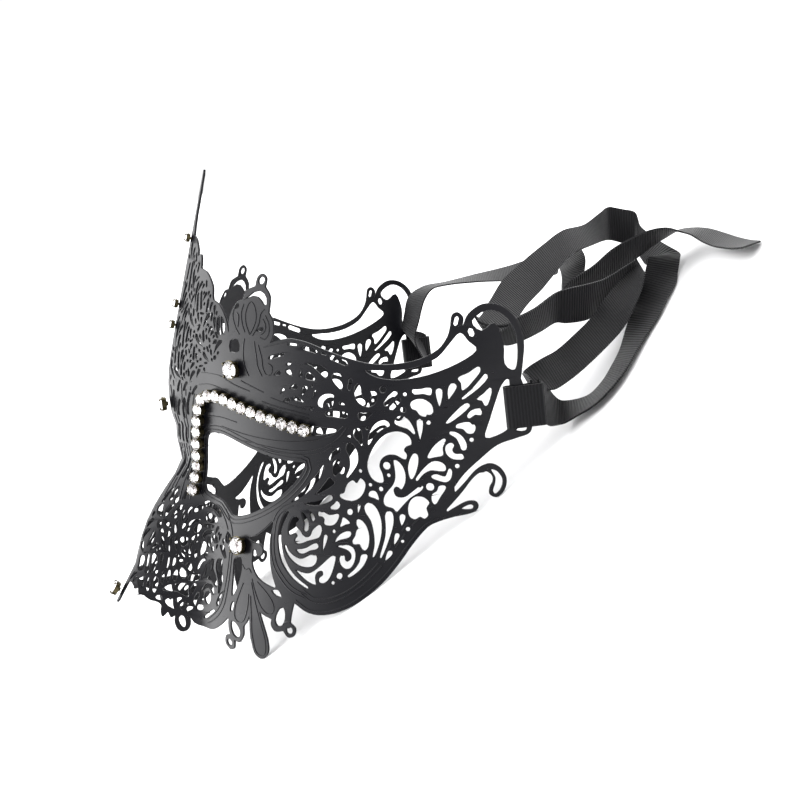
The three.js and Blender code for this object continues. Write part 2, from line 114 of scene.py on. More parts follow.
def aim(lamp, place, target):
    """Puts a lamp at a place, turned towards a target."""
    lamp.location = place
    lamp.rotation_euler = (Vector(target) - Vector(place)).to_track_quat("-Z", "Y").to_euler()


room = bpy.data.worlds.new("white_room")
bpy.context.scene.world = room
room.use_nodes = True
room_tree = room.node_tree
room_nodes = room_tree.nodes
room_nodes.clear()
direction = room_nodes.new("ShaderNodeTexCoord")
split_direction = room_nodes.new("ShaderNodeSeparateXYZ")
room_tree.links.new(direction.outputs["Generated"], split_direction.inputs[0])
side_light = add_range(room_tree, split_direction.outputs["X"], 3.0, 0.85, start=-0.3, end=0.6)
lit_room = room_nodes.new("ShaderNodeBackground")
lit_room.inputs["Color"].default_value = (1, 1, 1, 1)
room_tree.links.new(side_light, lit_room.inputs["Strength"])
seen_room = room_nodes.new("ShaderNodeBackground")
seen_room.inputs["Color"].default_value = (1, 1, 1, 1)
seen_room.inputs["Strength"].default_value = 1.05
ray = room_nodes.new("ShaderNodeLightPath")
room_choice = room_nodes.new("ShaderNodeMixShader")
room_tree.links.new(ray.outputs["Is Camera Ray"], room_choice.inputs["Fac"])
room_tree.links.new(lit_room.outputs[0], room_choice.inputs[1])
room_tree.links.new(seen_room.outputs[0], room_choice.inputs[2])
room_out = room_nodes.new("ShaderNodeOutputWorld")
room_tree.links.new(room_choice.outputs[0], room_out.inputs["Surface"])
bpy.context.scene.view_settings.view_transform = "Standard"

bpy.ops.object.light_add(type="AREA")
face_lamp = bpy.context.object
face_lamp.name = "face_lamp"
face_lamp.data.shape = "RECTANGLE"
face_lamp.data.size = 1.3
face_lamp.data.size_y = 0.9
face_lamp.data.energy = 12
aim(face_lamp, (-0.5, -1.25, 0.5), (0, -0.05, 0.06))
bpy.ops.object.light_add(type="SUN")
top_lamp = bpy.context.object
top_lamp.name = "top_lamp"
top_lamp.data.energy = 2.2
top_lamp.data.angle = math.radians(60)
aim(top_lamp, (-0.3, -0.9, 1.1), (0, 0, 0))
bpy.ops.object.select_all(action="DESELECT")

# The mask is one sheet of metal, cut through with scrollwork, pressed to the face and coated satin black.
# It leans back on its lower edges. The half is drawn flat in millimetres, from the centre line outwards.
sheet_thickness = 0.8
plan_radius = 130
ridge_angle = math.radians(22)
crown_height = 95
edge_round = 0.2
edge_steps = 4
same_place = 0.05
lean_back = math.radians(34)
leaning = (
    Matrix.Translation((0, -0.0662, 0.0654))
    @ Matrix.Rotation(-lean_back, 4, "X")
    @ Matrix.Scale(0.001, 4)
)

# The edge of the half sheet, as smooth stretches between its corners
cheek_line = [(107, -22.6), (103, -24.4), (98.5, -29.5), (94, -36.5), (89, -43), (82.5, -48.4), (75, -51.2),
              (67.5, -51), (61.5, -48)]
edge_stretches = [
    [(0, crown_height), (0.9, 92), (1.4, 79), (2.5, 73)],
    [(2.5, 73), (5.5, 71.5), (9, 68)],
    [(9.5, 66), (12.5, 66.5), (14.2, 63.5)],
    [(14.5, 62), (20, 60.5), (24.5, 56.5), (25.5, 53)],
    [(26, 51.5), (30, 49.5), (33.5, 45), (35, 41)],
    [(35, 41), (35, 46), (38, 50.5), (40.5, 51)],
    [(40.5, 51), (42, 54), (45.7, 55.2)],
    [(45.7, 55.2), (46.2, 58), (48.3, 59), (50.4, 57.4), (50.3, 54.7)],
    [(50.3, 54.7), (52.8, 51.5), (52.8, 46.5)],
    [(52.8, 46.5), (54.8, 43.5), (55, 39.5), (54, 37)],
    [(54, 37), (60, 38), (67, 36.8), (74, 34), (81, 31.2), (89, 28.7), (97, 27.8), (105, 28.6), (111, 31),
     (114, 34.6), (114.9, 38)],
    [(114.9, 38), (115.2, 41), (117, 41.8), (118.9, 40), (118.8, 37.4)],
    [(118.8, 37.4), (120.3, 41), (124.5, 43.4), (130, 42.4), (135, 38), (137.6, 31), (137.2, 24.5),
     (136.3, 19.5)],
    [(136.3, 19.5), (138.4, 12), (138.5, 6), (137.4, 2.4), (133, 1.2), (127, -0.3), (121, -4.3),
     (116, -8.2), (112.4, -12.2)],
    [(112.4, -13.8), (115.6, -11), (119, -7.7), (122, -6), (124.8, -5.8), (127.4, -7.6), (128.8, -11),
     (127.8, -14.6), (125.2, -16.6), (123, -15.4), (123.2, -13.2), (124.3, -11.4), (124.3, -9.6),
     (122.8, -8.2), (120.6, -8.4), (118, -10.3), (114.6, -14), (109.2, -19.2)],
    [(109.4, -19.8), (113.4, -17.8), (116, -16.9), (118.4, -17.1), (119.3, -18.7), (118.2, -20.3),
     (115.5, -21.1), (111.8, -21.5)],
    [(111.8, -21.5), *cheek_line],
    [(61.5, -48), (60.9, -51.5), (60.6, -54.6)],
    [(60.6, -54.6), (62.7, -56.4), (61.9, -59), (59.3, -59.6), (57.6, -57.6)],
    [(57.6, -57.6), (54.2, -58), (52.4, -56), (52.6, -53.8)],
    [(52.6, -53.8), (50, -53.2), (47.6, -52.2)],
    [(47.6, -52.2), (49.6, -57), (50.8, -61.5), (50.2, -66), (46.8, -68.4), (43.6, -66.4), (42.9, -60),
     (42.9, -54)],
    [(42.9, -54), (42, -55.8), (40.2, -57.8)],
    [(40.2, -57.8), (39.8, -61), (37.2, -63.8), (34.8, -63.4)],
    [(34.8, -63.4), (34.2, -66.3), (31.6, -67), (29.6, -65), (30.4, -62.2), (32.6, -61.8)],
    [(32.6, -61.8), (32.2, -58.5), (32.4, -55.8)],
    [(32.4, -55.8), (28, -59.2), (22.5, -61.6), (17, -60.6), (15.5, -57.7)],
    [(15.5, -57.7), (15.6, -60.2), (15.1, -62.3), (14.2, -62.9), (13.4, -61.7), (12.9, -59), (12.9, -57)],
    [(12.9, -57), (12.3, -57.6), (11.7, -55.6)],
    [(11.7, -55.6), (11, -57.2), (10.5, -55.1), (10.4, -53.2)],
    [(10.4, -53.2), (9.6, -51.9), (8.5, -51.3), (7.5, -50.3), (6.4, -48.9)],
    [(6.4, -48.9), (5.6, -48.9), (4.9, -46.6)],
    [(4.9, -46.6), (4.1, -47.1), (3.3, -45.6), (1.5, -44.6)],
    [(1.5, -44.6), (1.2, -50.4), (0, -51.6)],
]
openings = [
    # The eye, the gap under the top rail, the hook and the slot for the ribbon
    [(17.7, 0.6), (19.6, 5.5), (23.2, 6.7), (29, 6.1), (38.6, 2.9), (49.4, -0.4), (57.5, -1.7),
     (62.9, -2.4), (60.8, -6.2), (55.2, -11), (46.9, -16.2), (37.6, -20.1), (29.6, -21.6), (26.2, -19.6),
     (23, -17), (18.6, -15.6), (15.6, -13.4), (15.9, -6.6)],
    [(88, 26.6), (96, 25.9), (104, 26.2), (111, 28.6), (115, 32.6), (118, 35.4), (120.6, 32.6), (123, 29.6),
     (117, 26.2), (108, 23.6), (99, 22.8), (92, 24)],
    [(121.6, 38.6), (126, 41.4), (131, 39.6), (134.6, 34.6), (135.6, 28), (134.6, 22.4), (131.6, 24.6),
     (131.4, 31), (128.6, 37.4), (124.6, 35.4)],
    [(132.6, 19.4), (132, 11), (131.4, 5.6), (129, 3.4), (123.6, 2.4), (125.6, 8), (128.2, 14),
     (130.4, 18.4)],
    # Beside the brow stone and the nose cover, and the gap before the cheek
    [(36, 34.4), (36, 38), (39.4, 38.4), (40.2, 34.6)],
    [(32.4, -35.8), (35.4, -35), (36.7, -38.4), (36.4, -42.6), (35, -46.4), (33.7, -47.8), (33.2, -43),
     (32.6, -39)],
    [(34.6, -49.8), (35, -50.6), (34.4, -53), (33.5, -53.1), (33.6, -51.4)],
    [(37.4, -28.2), (41, -27.2), (45, -24.6), (47.8, -22.2), (48.2, -23.4), (47.5, -27), (47.8, -31),
     (49.4, -36.4), (51.4, -40.6), (53, -43.4), (50, -42.9), (46, -41.4), (43, -39), (41.4, -36.6),
     (40.9, -33.8), (40.8, -32), (41.8, -32.2), (42.6, -33.6), (44.2, -33.9), (45.3, -32.8), (45, -31),
     (43.2, -29.8), (40.6, -29.6)],
    [(51.8, -44.5), (53.8, -44.1), (55.2, -45), (56, -46.4), (53.8, -46)],
    [(56.6, -49.6), (57.9, -50.6), (58.2, -53.4), (57.2, -55.6), (55.4, -56), (54.3, -54.2), (55, -51.6)],
    [(34.4, -56.6), (36.6, -57.6), (38, -59.4), (37.6, -61.6), (35.8, -62.2), (34.4, -60.8), (33.8, -58.6)],
    # The wing's great comma, the leaf inside it and what lies round them
    [(89.9, -9.2), (87.8, -9), (86, -7.4), (85.2, -4.4), (85.8, -1.6), (87.5, 1.4), (89.8, 4.1), (92.5, 6),
     (95.6, 6.8), (98.4, 6.2), (100.2, 4.6), (100.4, 2.4), (98.6, 1.8), (97.9, 0.6), (98.6, -0.8),
     (97.8, -2.3), (95, -0.7), (92.4, -0.5), (90.2, -1.7), (89.3, -4), (90, -6.6)],
    [(94.1, -2.5), (95.3, -2.5), (96.8, -4.4), (97.4, -7.1), (96.9, -9.8), (95.5, -11.8), (94.8, -11.1),
     (93.7, -10.8), (93, -11.9), (93.4, -13.6), (94.8, -14.3), (96.8, -14.1), (99.2, -12.6), (101.8, -10.9),
     (102.6, -11.4), (101.4, -12.8), (98.2, -14.5), (96, -16.4), (94.4, -18), (93.4, -18.8), (92.2, -17.6),
     (90.4, -17), (89.4, -16), (89.6, -14), (91, -12.2), (93, -10.2), (94, -8), (94.2, -5.4)],
    [(100.9, -0.6), (102.1, -1.4), (101.7, -4.4), (100.4, -7.4), (99.2, -8.7), (98.6, -7.6), (98.5, -5),
     (99.4, -2.4)],
    [(92.4, 10.6), (94, 9.7), (94, 8.6), (91.4, 7.6), (89, 5.9), (87, 3.4), (86.3, 3.2), (87.2, 6.6),
     (89.5, 9.5)],
    [(95.9, 9.4), (96.8, 11.2), (98.8, 11.4), (100.8, 9.6), (102, 6.4), (101.6, 5.5), (99.8, 7.3),
     (97.6, 8.2)],
    [(83.3, 8.6), (84.8, 7.6), (84.7, 4.2), (84.1, 2.6), (83.3, 4.2), (81.8, 5.8), (82, 7.8)],
    [(76.3, 2.7), (76.7, 1.2), (74.8, 0.2), (73, -1.5), (72, -1.2), (73.4, 0.8)],
    [(79.6, 4.1), (81.4, 3.3), (82.5, 0.6), (82.1, -2.6), (80, -5.4), (77.9, -7.4), (77.6, -6.8),
     (79.1, -4.2), (79.5, -0.9), (78.6, 1.8)],
    [(75.7, -1.1), (76.3, -1.8), (75.6, -2.9), (76.2, -3.7), (77.4, -3.8), (77, -5.6), (76, -6.1),
     (75, -5.7), (73.6, -6.7), (72.8, -5.4), (73.2, -3), (74.4, -1.6)],
    [(85.2, -11.9), (86.9, -11.9), (87.6, -13.2), (87.8, -14.9), (86.4, -14.2), (84.4, -13.4)],
    [(82.5, -7.6), (83.8, -9), (83.5, -11), (82, -13.3), (79.4, -14.8), (76.4, -14.6), (74.5, -13.6),
     (74.6, -12.7), (76.1, -12.2), (76.8, -10.6), (78, -9), (79.8, -8.2), (80.8, -9.2), (81.6, -8.5)],
    [(70.1, -2.8), (69.8, -4.9), (68, -7.6), (65, -10.1), (61, -13), (57, -15), (56.6, -14.7), (60, -12),
     (64, -8.6), (68, -5)],
    [(71.5, -7.1), (72.5, -7.8), (73.2, -8.9), (71.4, -10.2), (68.2, -11.8), (65.6, -12.6), (67.6, -10.8),
     (69.8, -8.6)],
    [(71.2, -12.8), (71.8, -14), (70, -15.2), (66, -16.3), (62.4, -16.2), (61.4, -15.6), (64.8, -15.2),
     (68, -14.4), (69.8, -13.3)],
    [(73.3, -14.8), (74.4, -16.2), (73.2, -17.6), (71, -17.5), (70.8, -16.8), (72.2, -15.8)],
    # The wing's star, its curls and the leaves along its rear
    [(85.2, 22.6), (86.1, 21.4), (86.2, 19), (87, 17.8), (88.6, 17.5), (89.5, 18.6), (89.2, 20),
     (90.2, 20.2), (91.3, 18.8), (90.8, 16.6), (88.8, 15.1), (86.6, 15.3), (84.6, 16.8), (83.8, 19),
     (84, 21.4)],
    [(84.6, 13.5), (86.4, 13.2), (89.4, 13.4), (87.8, 11.9), (85.4, 10.7), (84.2, 11.9)],
    [(102.2, 15.8), (104.3, 16.4), (106.4, 15.9), (108.2, 14.2), (108.4, 12), (107.4, 11.2), (106.4, 11.3),
     (105.8, 10.7), (104.2, 11.3), (103.2, 12.8), (101.9, 13.6), (101.6, 14.8)],
    [(102.6, 19.4), (105.5, 19.6), (108.4, 19.5), (108.6, 18.2), (108, 17.2), (106, 17.9), (103.2, 17.9)],
    [(123.4, 24.6), (123.9, 23), (121.8, 20.6), (119.4, 18.4), (118, 17.9), (117.9, 20), (117.1, 21.8),
     (120.4, 23)],
    [(125.5, 22.2), (126.1, 20.8), (123.4, 18.2), (118.6, 15.2), (117.7, 15.4), (121, 17.8), (124.2, 21)],
    [(126.6, 17.8), (126.9, 16.2), (125.4, 12.6), (124.4, 12.5), (123.8, 14), (122.2, 14.6), (124.6, 16.2)],
    [(119.2, 13.7), (119.8, 12.6), (116.4, 10), (113.2, 8.2), (111.9, 8.2), (114.6, 10.8), (117.4, 13)],
    [(120.2, 11.3), (122.9, 11.7), (123.1, 9.6), (121.2, 9.9), (119.4, 8.9), (118.8, 9.8)],
    [(115.4, 7.4), (117.6, 7.9), (120, 7.5), (120.9, 6), (120, 4.2), (118.2, 4.4), (117, 5.8), (115, 6.4)],
    [(113.2, 5.4), (115, 4.9), (116.7, 3.3), (117.6, 1), (117.2, -0.7), (116, -0.7), (115.5, 1),
     (114.6, 3.2), (112.8, 4.6)],
    [(112.6, 1.9), (113.7, 1.1), (113, -0.4), (113.8, -1.7), (115.9, -2), (116.2, -3.4), (114.8, -3.7),
     (112.4, -3), (111, -1.2), (111.1, 0.9)],
    [(110.8, 3.4), (111.2, 2.6), (110.1, 0.6), (109.9, -1.8), (107.6, -2.2), (105.2, -2.4), (105.6, -1),
     (107.8, 1.6)],
    [(101, -9.3), (100.6, -8.6), (103.2, -5.8), (106.2, -3.6), (108.8, -3.8), (110.3, -5.2), (110, -6.8),
     (107.6, -6.6), (105.4, -6.3), (103, -7.4)],
    [(105.8, -7.9), (107.2, -7.6), (108.8, -8.3), (110, -8.5), (110.8, -7.2), (111.5, -6.1), (112.2, -7.2),
     (111.5, -9.4), (110, -10.4), (107.8, -9.8), (105.8, -8.8)],
    [(107.6, -11.5), (109.3, -11.4), (109.6, -12.4), (107.6, -15), (105.9, -17.2), (104.9, -16),
     (105.2, -14), (106.8, -13)],
    [(100.2, -14.3), (102.4, -14.7), (104, -16.4), (103, -18.2), (103.4, -20.4), (102.2, -21.5),
     (100.8, -20.8), (99.2, -21.5), (97.5, -20.4), (97.2, -17.8), (98.2, -15.4)],
    [(124.4, -7.6), (126.2, -8.6), (127.4, -11), (126.8, -13.6), (125, -15.4), (124.2, -14.4), (125, -12.4),
     (125.4, -10.4), (124.8, -8.8)],
    # The wing under the top rail
    [(70.6, 16.6), (71.4, 18.6), (73.6, 19.8), (76.4, 19.6), (76.6, 18), (75.6, 15.4), (74.6, 15.3),
     (74, 16.9), (72.2, 15.5)],
    [(74, 14.5), (80.2, 13.8), (80.6, 12.6), (79.8, 11.8), (76, 12.4), (73, 12.8), (73, 14)],
    [(67.4, 9.5), (67.2, 6.9), (70, 6.7), (73, 7.1), (75.8, 7.6), (75.8, 8.6), (73, 8.9), (70, 9.5)],
    [(67.6, 29.9), (71, 29.6), (74.2, 28.2), (75.2, 26.6), (74.5, 24.8), (72, 26.8), (69.6, 28.9)],
    [(68.3, 27.2), (66.8, 25.2), (69, 24.4), (71.2, 24.5)],
    [(77.2, 26.2), (79.4, 26), (80, 24), (79.8, 20.8), (77.6, 22.6), (76.4, 24.8)],
    # The cheek's medallion: a long slit round its front, then its leaves and commas
    [(54.5, -18.2), (52.6, -19.7), (51.2, -23), (50.9, -26.4), (51.6, -30), (53.4, -34.1), (56.4, -37.5),
     (60.2, -40.4), (65.4, -43), (65.8, -42.4), (61.6, -40.1), (57.8, -37.2), (54.8, -33.6), (52.8, -29.6),
     (52.1, -26.2), (52.6, -22.8), (54.7, -19)],
    [(60.2, -37.3), (62.4, -37.9), (65.2, -38.2), (67.4, -37.2), (69.8, -35.2), (72.2, -32.9), (74, -32.2),
     (74.4, -33.6), (74, -37.4), (73, -40), (71.4, -41.1), (69.8, -40.8), (69.6, -39.6), (70.7, -38.6),
     (70.2, -37.3), (68.8, -37.4), (68, -38.8), (68.3, -40.4), (68.7, -41.7), (66, -41), (62.8, -39.2)],
    [(54.5, -29.4), (56, -31.2), (58.4, -32.8), (61.3, -33.7), (63.4, -33), (65.2, -32.1), (66.9, -32.2),
     (67.6, -33.8), (66.8, -35.5), (64.6, -36.2), (61.2, -35.8), (57.8, -34.1), (55.4, -32), (54.2, -30)],
    [(59.1, -30.8), (61, -30.5), (63, -30), (65, -28.9), (66.6, -28.5), (67.4, -29.6), (66.6, -30.4),
     (64.6, -30.8), (62.4, -31.8), (60.6, -31.9)],
    [(56.4, -20.3), (58.2, -20.2), (59, -21.2), (57.9, -22.2), (58.2, -23.6), (59.6, -24.6), (60.8, -26),
     (62.4, -26.7), (63.7, -26.2), (64.4, -24.4), (66, -23), (67.2, -22.7), (68, -24.2), (67.3, -26.4),
     (65.6, -27.1), (63, -27.8), (60.2, -28.8), (58.4, -28.5), (58, -27.4), (58.7, -26.4), (57.6, -25.4),
     (55.6, -26.1), (54.9, -24.6), (55.2, -22.2)],
    [(59.8, -18.4), (61.4, -19.5), (62.7, -22), (62.8, -24.2), (61.8, -24.9), (61.1, -24.2), (61.1, -22.2),
     (60.3, -20.2)],
    [(66.3, -18.4), (68.2, -18.4), (70.6, -19.4), (73.6, -19), (73.8, -20.4), (72.6, -22.2), (70.6, -22.8),
     (68.6, -22.3), (68.6, -20.8), (67.6, -19.9), (66.3, -19.7)],
    [(75.3, -20.1), (76.8, -20.8), (78, -22), (76.4, -22.4), (74.5, -23.2), (74.9, -21.6)],
    [(77.4, -24.5), (78.6, -25), (78.4, -26.2), (76.8, -26.9), (74.8, -27.3), (73.3, -28), (74, -26.4),
     (75.4, -25.2)],
    [(80.4, -20.8), (82.2, -21.4), (83.8, -23.4), (84.8, -26.2), (84.9, -29.4), (84, -30.7), (82.8, -30.1),
     (81.8, -28.7), (80, -28.8), (79.4, -27.6), (80.1, -26.2), (80.3, -24.6), (80.9, -23.6), (80.2, -22.4)],
    [(84.2, -15.6), (86, -16.4), (87.6, -18.8), (88.6, -22.4), (88.6, -26.6), (87.8, -30.8), (87, -32.9),
     (86.6, -32.4), (86.8, -28.7), (86.1, -24.9), (85, -21.4), (83.2, -18.8), (82.8, -16.8)],
    [(90.8, -18.4), (92.2, -19.4), (92.4, -22.4), (91.5, -26.4), (90.4, -30.2), (89.4, -33.2),
     (88.9, -32.8), (89.4, -29.8), (90, -26.4), (89.9, -22.8), (89.7, -19.8)],
    [(74.5, -29.4), (77.2, -28.9), (79.8, -29.7), (81, -31.8), (81, -34.4), (80, -36.2), (78.3, -36.4),
     (76.6, -35.2), (75.8, -33.4), (76.2, -32.2), (77.4, -32.4), (77.9, -33.7), (78.9, -34.2),
     (79.8, -33.2), (79.4, -31.6), (77.6, -30.3)],
    [(83, -32.2), (85, -32.3), (84.2, -35.4), (82.2, -37.8), (80.1, -39.2), (79.6, -38.6), (81.4, -36.8),
     (82.6, -34.6)],
    # The lace of the nose's cover
    [(11.2, -22.4), (11.1, -20.7), (11.7, -19.5), (12.1, -20.4), (11.8, -22)],
    [(12.6, -21.4), (12.7, -19.9), (13.6, -19), (14.6, -19.2), (14.6, -20.4), (13.6, -21.1)],
    [(16, -24.2), (15.8, -22.6), (16.6, -21.6), (18, -22.2), (20, -23.6), (19.5, -24.7), (17.2, -25)],
    [(11.4, -27.7), (11.7, -25.9), (12.4, -24.4), (13.9, -23.7), (14.5, -24.5), (13.1, -25.2),
     (12.5, -26.2), (12.3, -27.5), (11.8, -28.1)],
    [(13.2, -27.9), (13.3, -26.5), (14.1, -25.5), (14.9, -26.2), (14.8, -27.6), (14, -28.6)],
    [(10.7, -31.2), (10.9, -30), (11.9, -29.9), (12.5, -31), (12.2, -32.7), (11.3, -33.3)],
    [(11.3, -35), (11.6, -34), (12.2, -34.7), (12.6, -36.5), (12.2, -37)],
    [(12.9, -35.1), (13, -32.4), (13.4, -32), (13.4, -34.1), (13.5, -36.5), (13.1, -36.8)],
    [(13, -31), (13.3, -29.9), (14.2, -29.1), (14.7, -29.4), (13.9, -30.4), (13.4, -31.4)],
    [(14.2, -35.2), (14.4, -34.2), (15, -34.7), (15.1, -36.4), (14.9, -37.3), (14.4, -36.9)],
    [(15.5, -33.8), (15.5, -32.1), (16.2, -31.6), (16.9, -32.4), (16.9, -34.5), (16.3, -36.2),
     (15.8, -36.5)],
    [(17.2, -31.4), (17.5, -29.8), (18.2, -30), (18.7, -32), (18.3, -33.4), (17.6, -33.1)],
    [(18.7, -29.9), (19.8, -29.1), (21.5, -30), (22.1, -31.3), (20.4, -31.8)],
    [(15.5, -29.7), (16.1, -28.1), (17.5, -27.6), (18.7, -28.2), (16.8, -29), (16.1, -30.4)],
    [(17.4, -44.4), (17.9, -41.6), (18.2, -39.2), (19.6, -37.5), (21.2, -37.8), (21.7, -40.5),
     (23.7, -42.6), (25.1, -46.2), (22.1, -44.6), (19.1, -43.9)],
    [(23.4, -39.3), (23.5, -37.4), (25, -36.7), (26.1, -37.6), (26.7, -40.9), (27.6, -43.5), (27.2, -46.9),
     (26.6, -48), (26.1, -44.3), (24.3, -41.5)],
    [(23.6, -32.4), (25.3, -32.2), (26.8, -33.8), (27.9, -36), (26.4, -35.5)],
    [(12, -42.2), (12.1, -40.4), (12.9, -41.3), (13.6, -42.7), (13.3, -44.3), (12.6, -43.8)],
    [(11, -44.2), (11, -41.8), (11.5, -41.2), (11.8, -43.2), (11.7, -44.9)],
    [(9.9, -44.1), (9.8, -41.4), (10.1, -41.1), (10.5, -43.5), (10.4, -45.2)],
    [(13.9, -44.4), (14.3, -42.9), (15.5, -43.2), (16.7, -42.9), (16.4, -44.8), (14.8, -45.1)],
    [(9.8, -47.8), (10.5, -46.4), (11.8, -46), (13.3, -45.7), (14.3, -46.6), (14.5, -48.5), (14.8, -50.6),
     (13.5, -49.7), (12.2, -48.5), (10.9, -48.4)],
    [(14.9, -47.9), (15.4, -46.1), (15.9, -46.2), (16.1, -47.2), (15.5, -49.6)],
    [(18.1, -52), (17.5, -48.9), (18, -46.8), (19.4, -45.6), (21.7, -45.6), (23.5, -47.1), (23.6, -49.2),
     (21.5, -47.4), (19.4, -47.4), (18.4, -48.8), (18.6, -50.9)],
    [(15.9, -52.4), (16.1, -50.3), (16.8, -48.9), (17.1, -50.3), (16.6, -52.1), (16.4, -53.8)],
    [(16.9, -54.7), (17.2, -53.5), (17.9, -53.3), (18.5, -54.4), (17.7, -55.2)],
    [(18.9, -57.6), (21.1, -55.8), (24.1, -54.1), (24.7, -54.7), (22.3, -56.4), (19.8, -57.8)],
    [(6, -40.9), (5.3, -36.5), (5.7, -35.1), (6.7, -36.9), (6.9, -39.3), (6.7, -41.6)],
    [(8, -47.7), (7.5, -44.3), (7.7, -43.1), (8.5, -44.4), (8.7, -46.7), (8.6, -48.7)],
    [(5.8, -23.5), (7.2, -24.2), (8.4, -25.8), (8.1, -26.6), (7, -25.6)],
    [(7.4, -29), (7.9, -27.6), (8.4, -28.4), (8.2, -29.7)],
    [(8.6, -31.8), (8.6, -29.7), (9.1, -30.4), (9.2, -32.5), (9, -34.9), (8.7, -33.8)],
    [(6.6, -31), (6.8, -29.3), (7.5, -31), (8.3, -33.8), (8.1, -34.9), (7.3, -32.8)],
    [(9.2, -40.4), (9, -37), (9.4, -36.6), (9.7, -38.7), (9.7, -40.7)],
    [(10.2, -39.8), (10.1, -37.4), (10.5, -37), (10.8, -38.8), (10.7, -40.5)],
    [(10.2, -34.3), (9.6, -31.1), (9.8, -29.4), (10.3, -31.2), (10.5, -33.6)],
    [(9.3, -28.4), (8.9, -25.7), (9.2, -24), (9.7, -25.7), (9.7, -27.7)],
    [(10, -23.7), (10, -21), (10.4, -20.6), (10.6, -22.7), (10.4, -24.7)],
    [(10.6, -27.1), (10.8, -24.6), (11.4, -23.1), (11.6, -23.7), (11.2, -26.1)],
    [(4.7, -25.2), (4.8, -23.7), (5.5, -24.2), (5.7, -25.9), (5.3, -26.6)],
    [(7.2, -35.4), (7.2, -37), (7.5, -39.4), (7.9, -38), (7.9, -36.4), (7.6, -35.2)],
    [(5, -41.6), (4.2, -37.6), (4.4, -35.1), (5.1, -38.6), (5.7, -41.9)],
    [(2.7, -40), (2.2, -37), (2.8, -36.2), (3.4, -38.6), (3.8, -40.9)],
    [(6.6, -46.9), (6.2, -43.9), (6.4, -43.3), (7.1, -45.6), (7.3, -48)],
    [(9, -45.1), (8.7, -42), (8.9, -41.5), (9.4, -43.4), (9.5, -45.8)],
    [(3.5, -32.4), (4, -29.3), (4.4, -27.3), (5.1, -28.9), (4.4, -32.4)],
    [(19.3, -49.6), (20.2, -48.5), (21.4, -48.9), (22, -50.6), (21.2, -52.4), (20, -52.2), (19.4, -51)],
    # The ring at the foot of the cover
    [(13.6, -58.8), (13.6, -57.7), (14, -57.1), (14.5, -58), (14.7, -60.1), (14.5, -61.3), (14, -60.6)],
    # The forehead's lens
    [(30.9, 46), (32.3, 44.6), (32.9, 42), (31.9, 40.2), (31.2, 42.8)],
    [(28.9, 45.4), (30.2, 45.6), (30.5, 42.6), (30.9, 40), (29.6, 40.2), (28.7, 42.4)],
]

# Tail, head, width of the head, and the sag of the spine
teardrops = [
    # The wing and the cheek
    (110.6, 13.4, 111, 19.2, 2.1, 0), (113.6, 15.4, 115.9, 20.2, 2.3, 0.2), (103.4, 3.6, 104, 10.2, 2, 0),
    (113.8, -19.2, 117.6, -18.7, 1.5, 0), (80.6, -19, 81.1, -15.8, 1.1, 0),
    (69.3, -31, 69.7, -25.6, 1.5, 0), (62.5, -17.7, 64.7, -21.4, 1.4, 0.2),
    (92.9, -29.4, 93.9, -25.6, 1.5, 0), (90.6, -34.2, 92.2, -31.1, 1.6, 0),
    (95, -23.4, 95.4, -19.6, 1.9, 0), (133.2, 3.7, 136.6, 4.3, 1.9, 0),
    # The wing under the top rail
    (62.2, 26, 60, 28.3, 1.7, 0), (65.5, 28, 65.5, 25.6, 1.2, 0), (61, 22.2, 63.8, 22.8, 1.8, 0),
    (65.2, 19.6, 67.3, 22.6, 1.7, 0.3), (69, 18.6, 70.7, 21.2, 1.2, 0), (57.2, 20.6, 58.6, 22.2, 0.9, 0),
    (58, 18, 60.6, 18.6, 1.4, 0), (65.8, 17.3, 61.8, 19, 1.4, -0.3), (80.3, 16.1, 78.2, 17, 1.1, 0),
    (55, 26.6, 57.7, 27.4, 1.5, 0),
    # The fan, the forehead and the cover of the nose
    (42.4, 51.4, 51.4, 49, 2.3, 2.6), (37.4, 48.2, 39.2, 49.8, 1.3, 0), (48, 41, 50.8, 41.4, 1.3, 0),
    (29.4, -46.8, 26.2, -52.6, 1.1, -0.7), (27, -28, 27.8, -30.2, 1.1, 0), (26.8, 37, 28.9, 38.2, 1.4, 0),
    (27.7, 42, 27.4, 46, 1.4, 0),
]

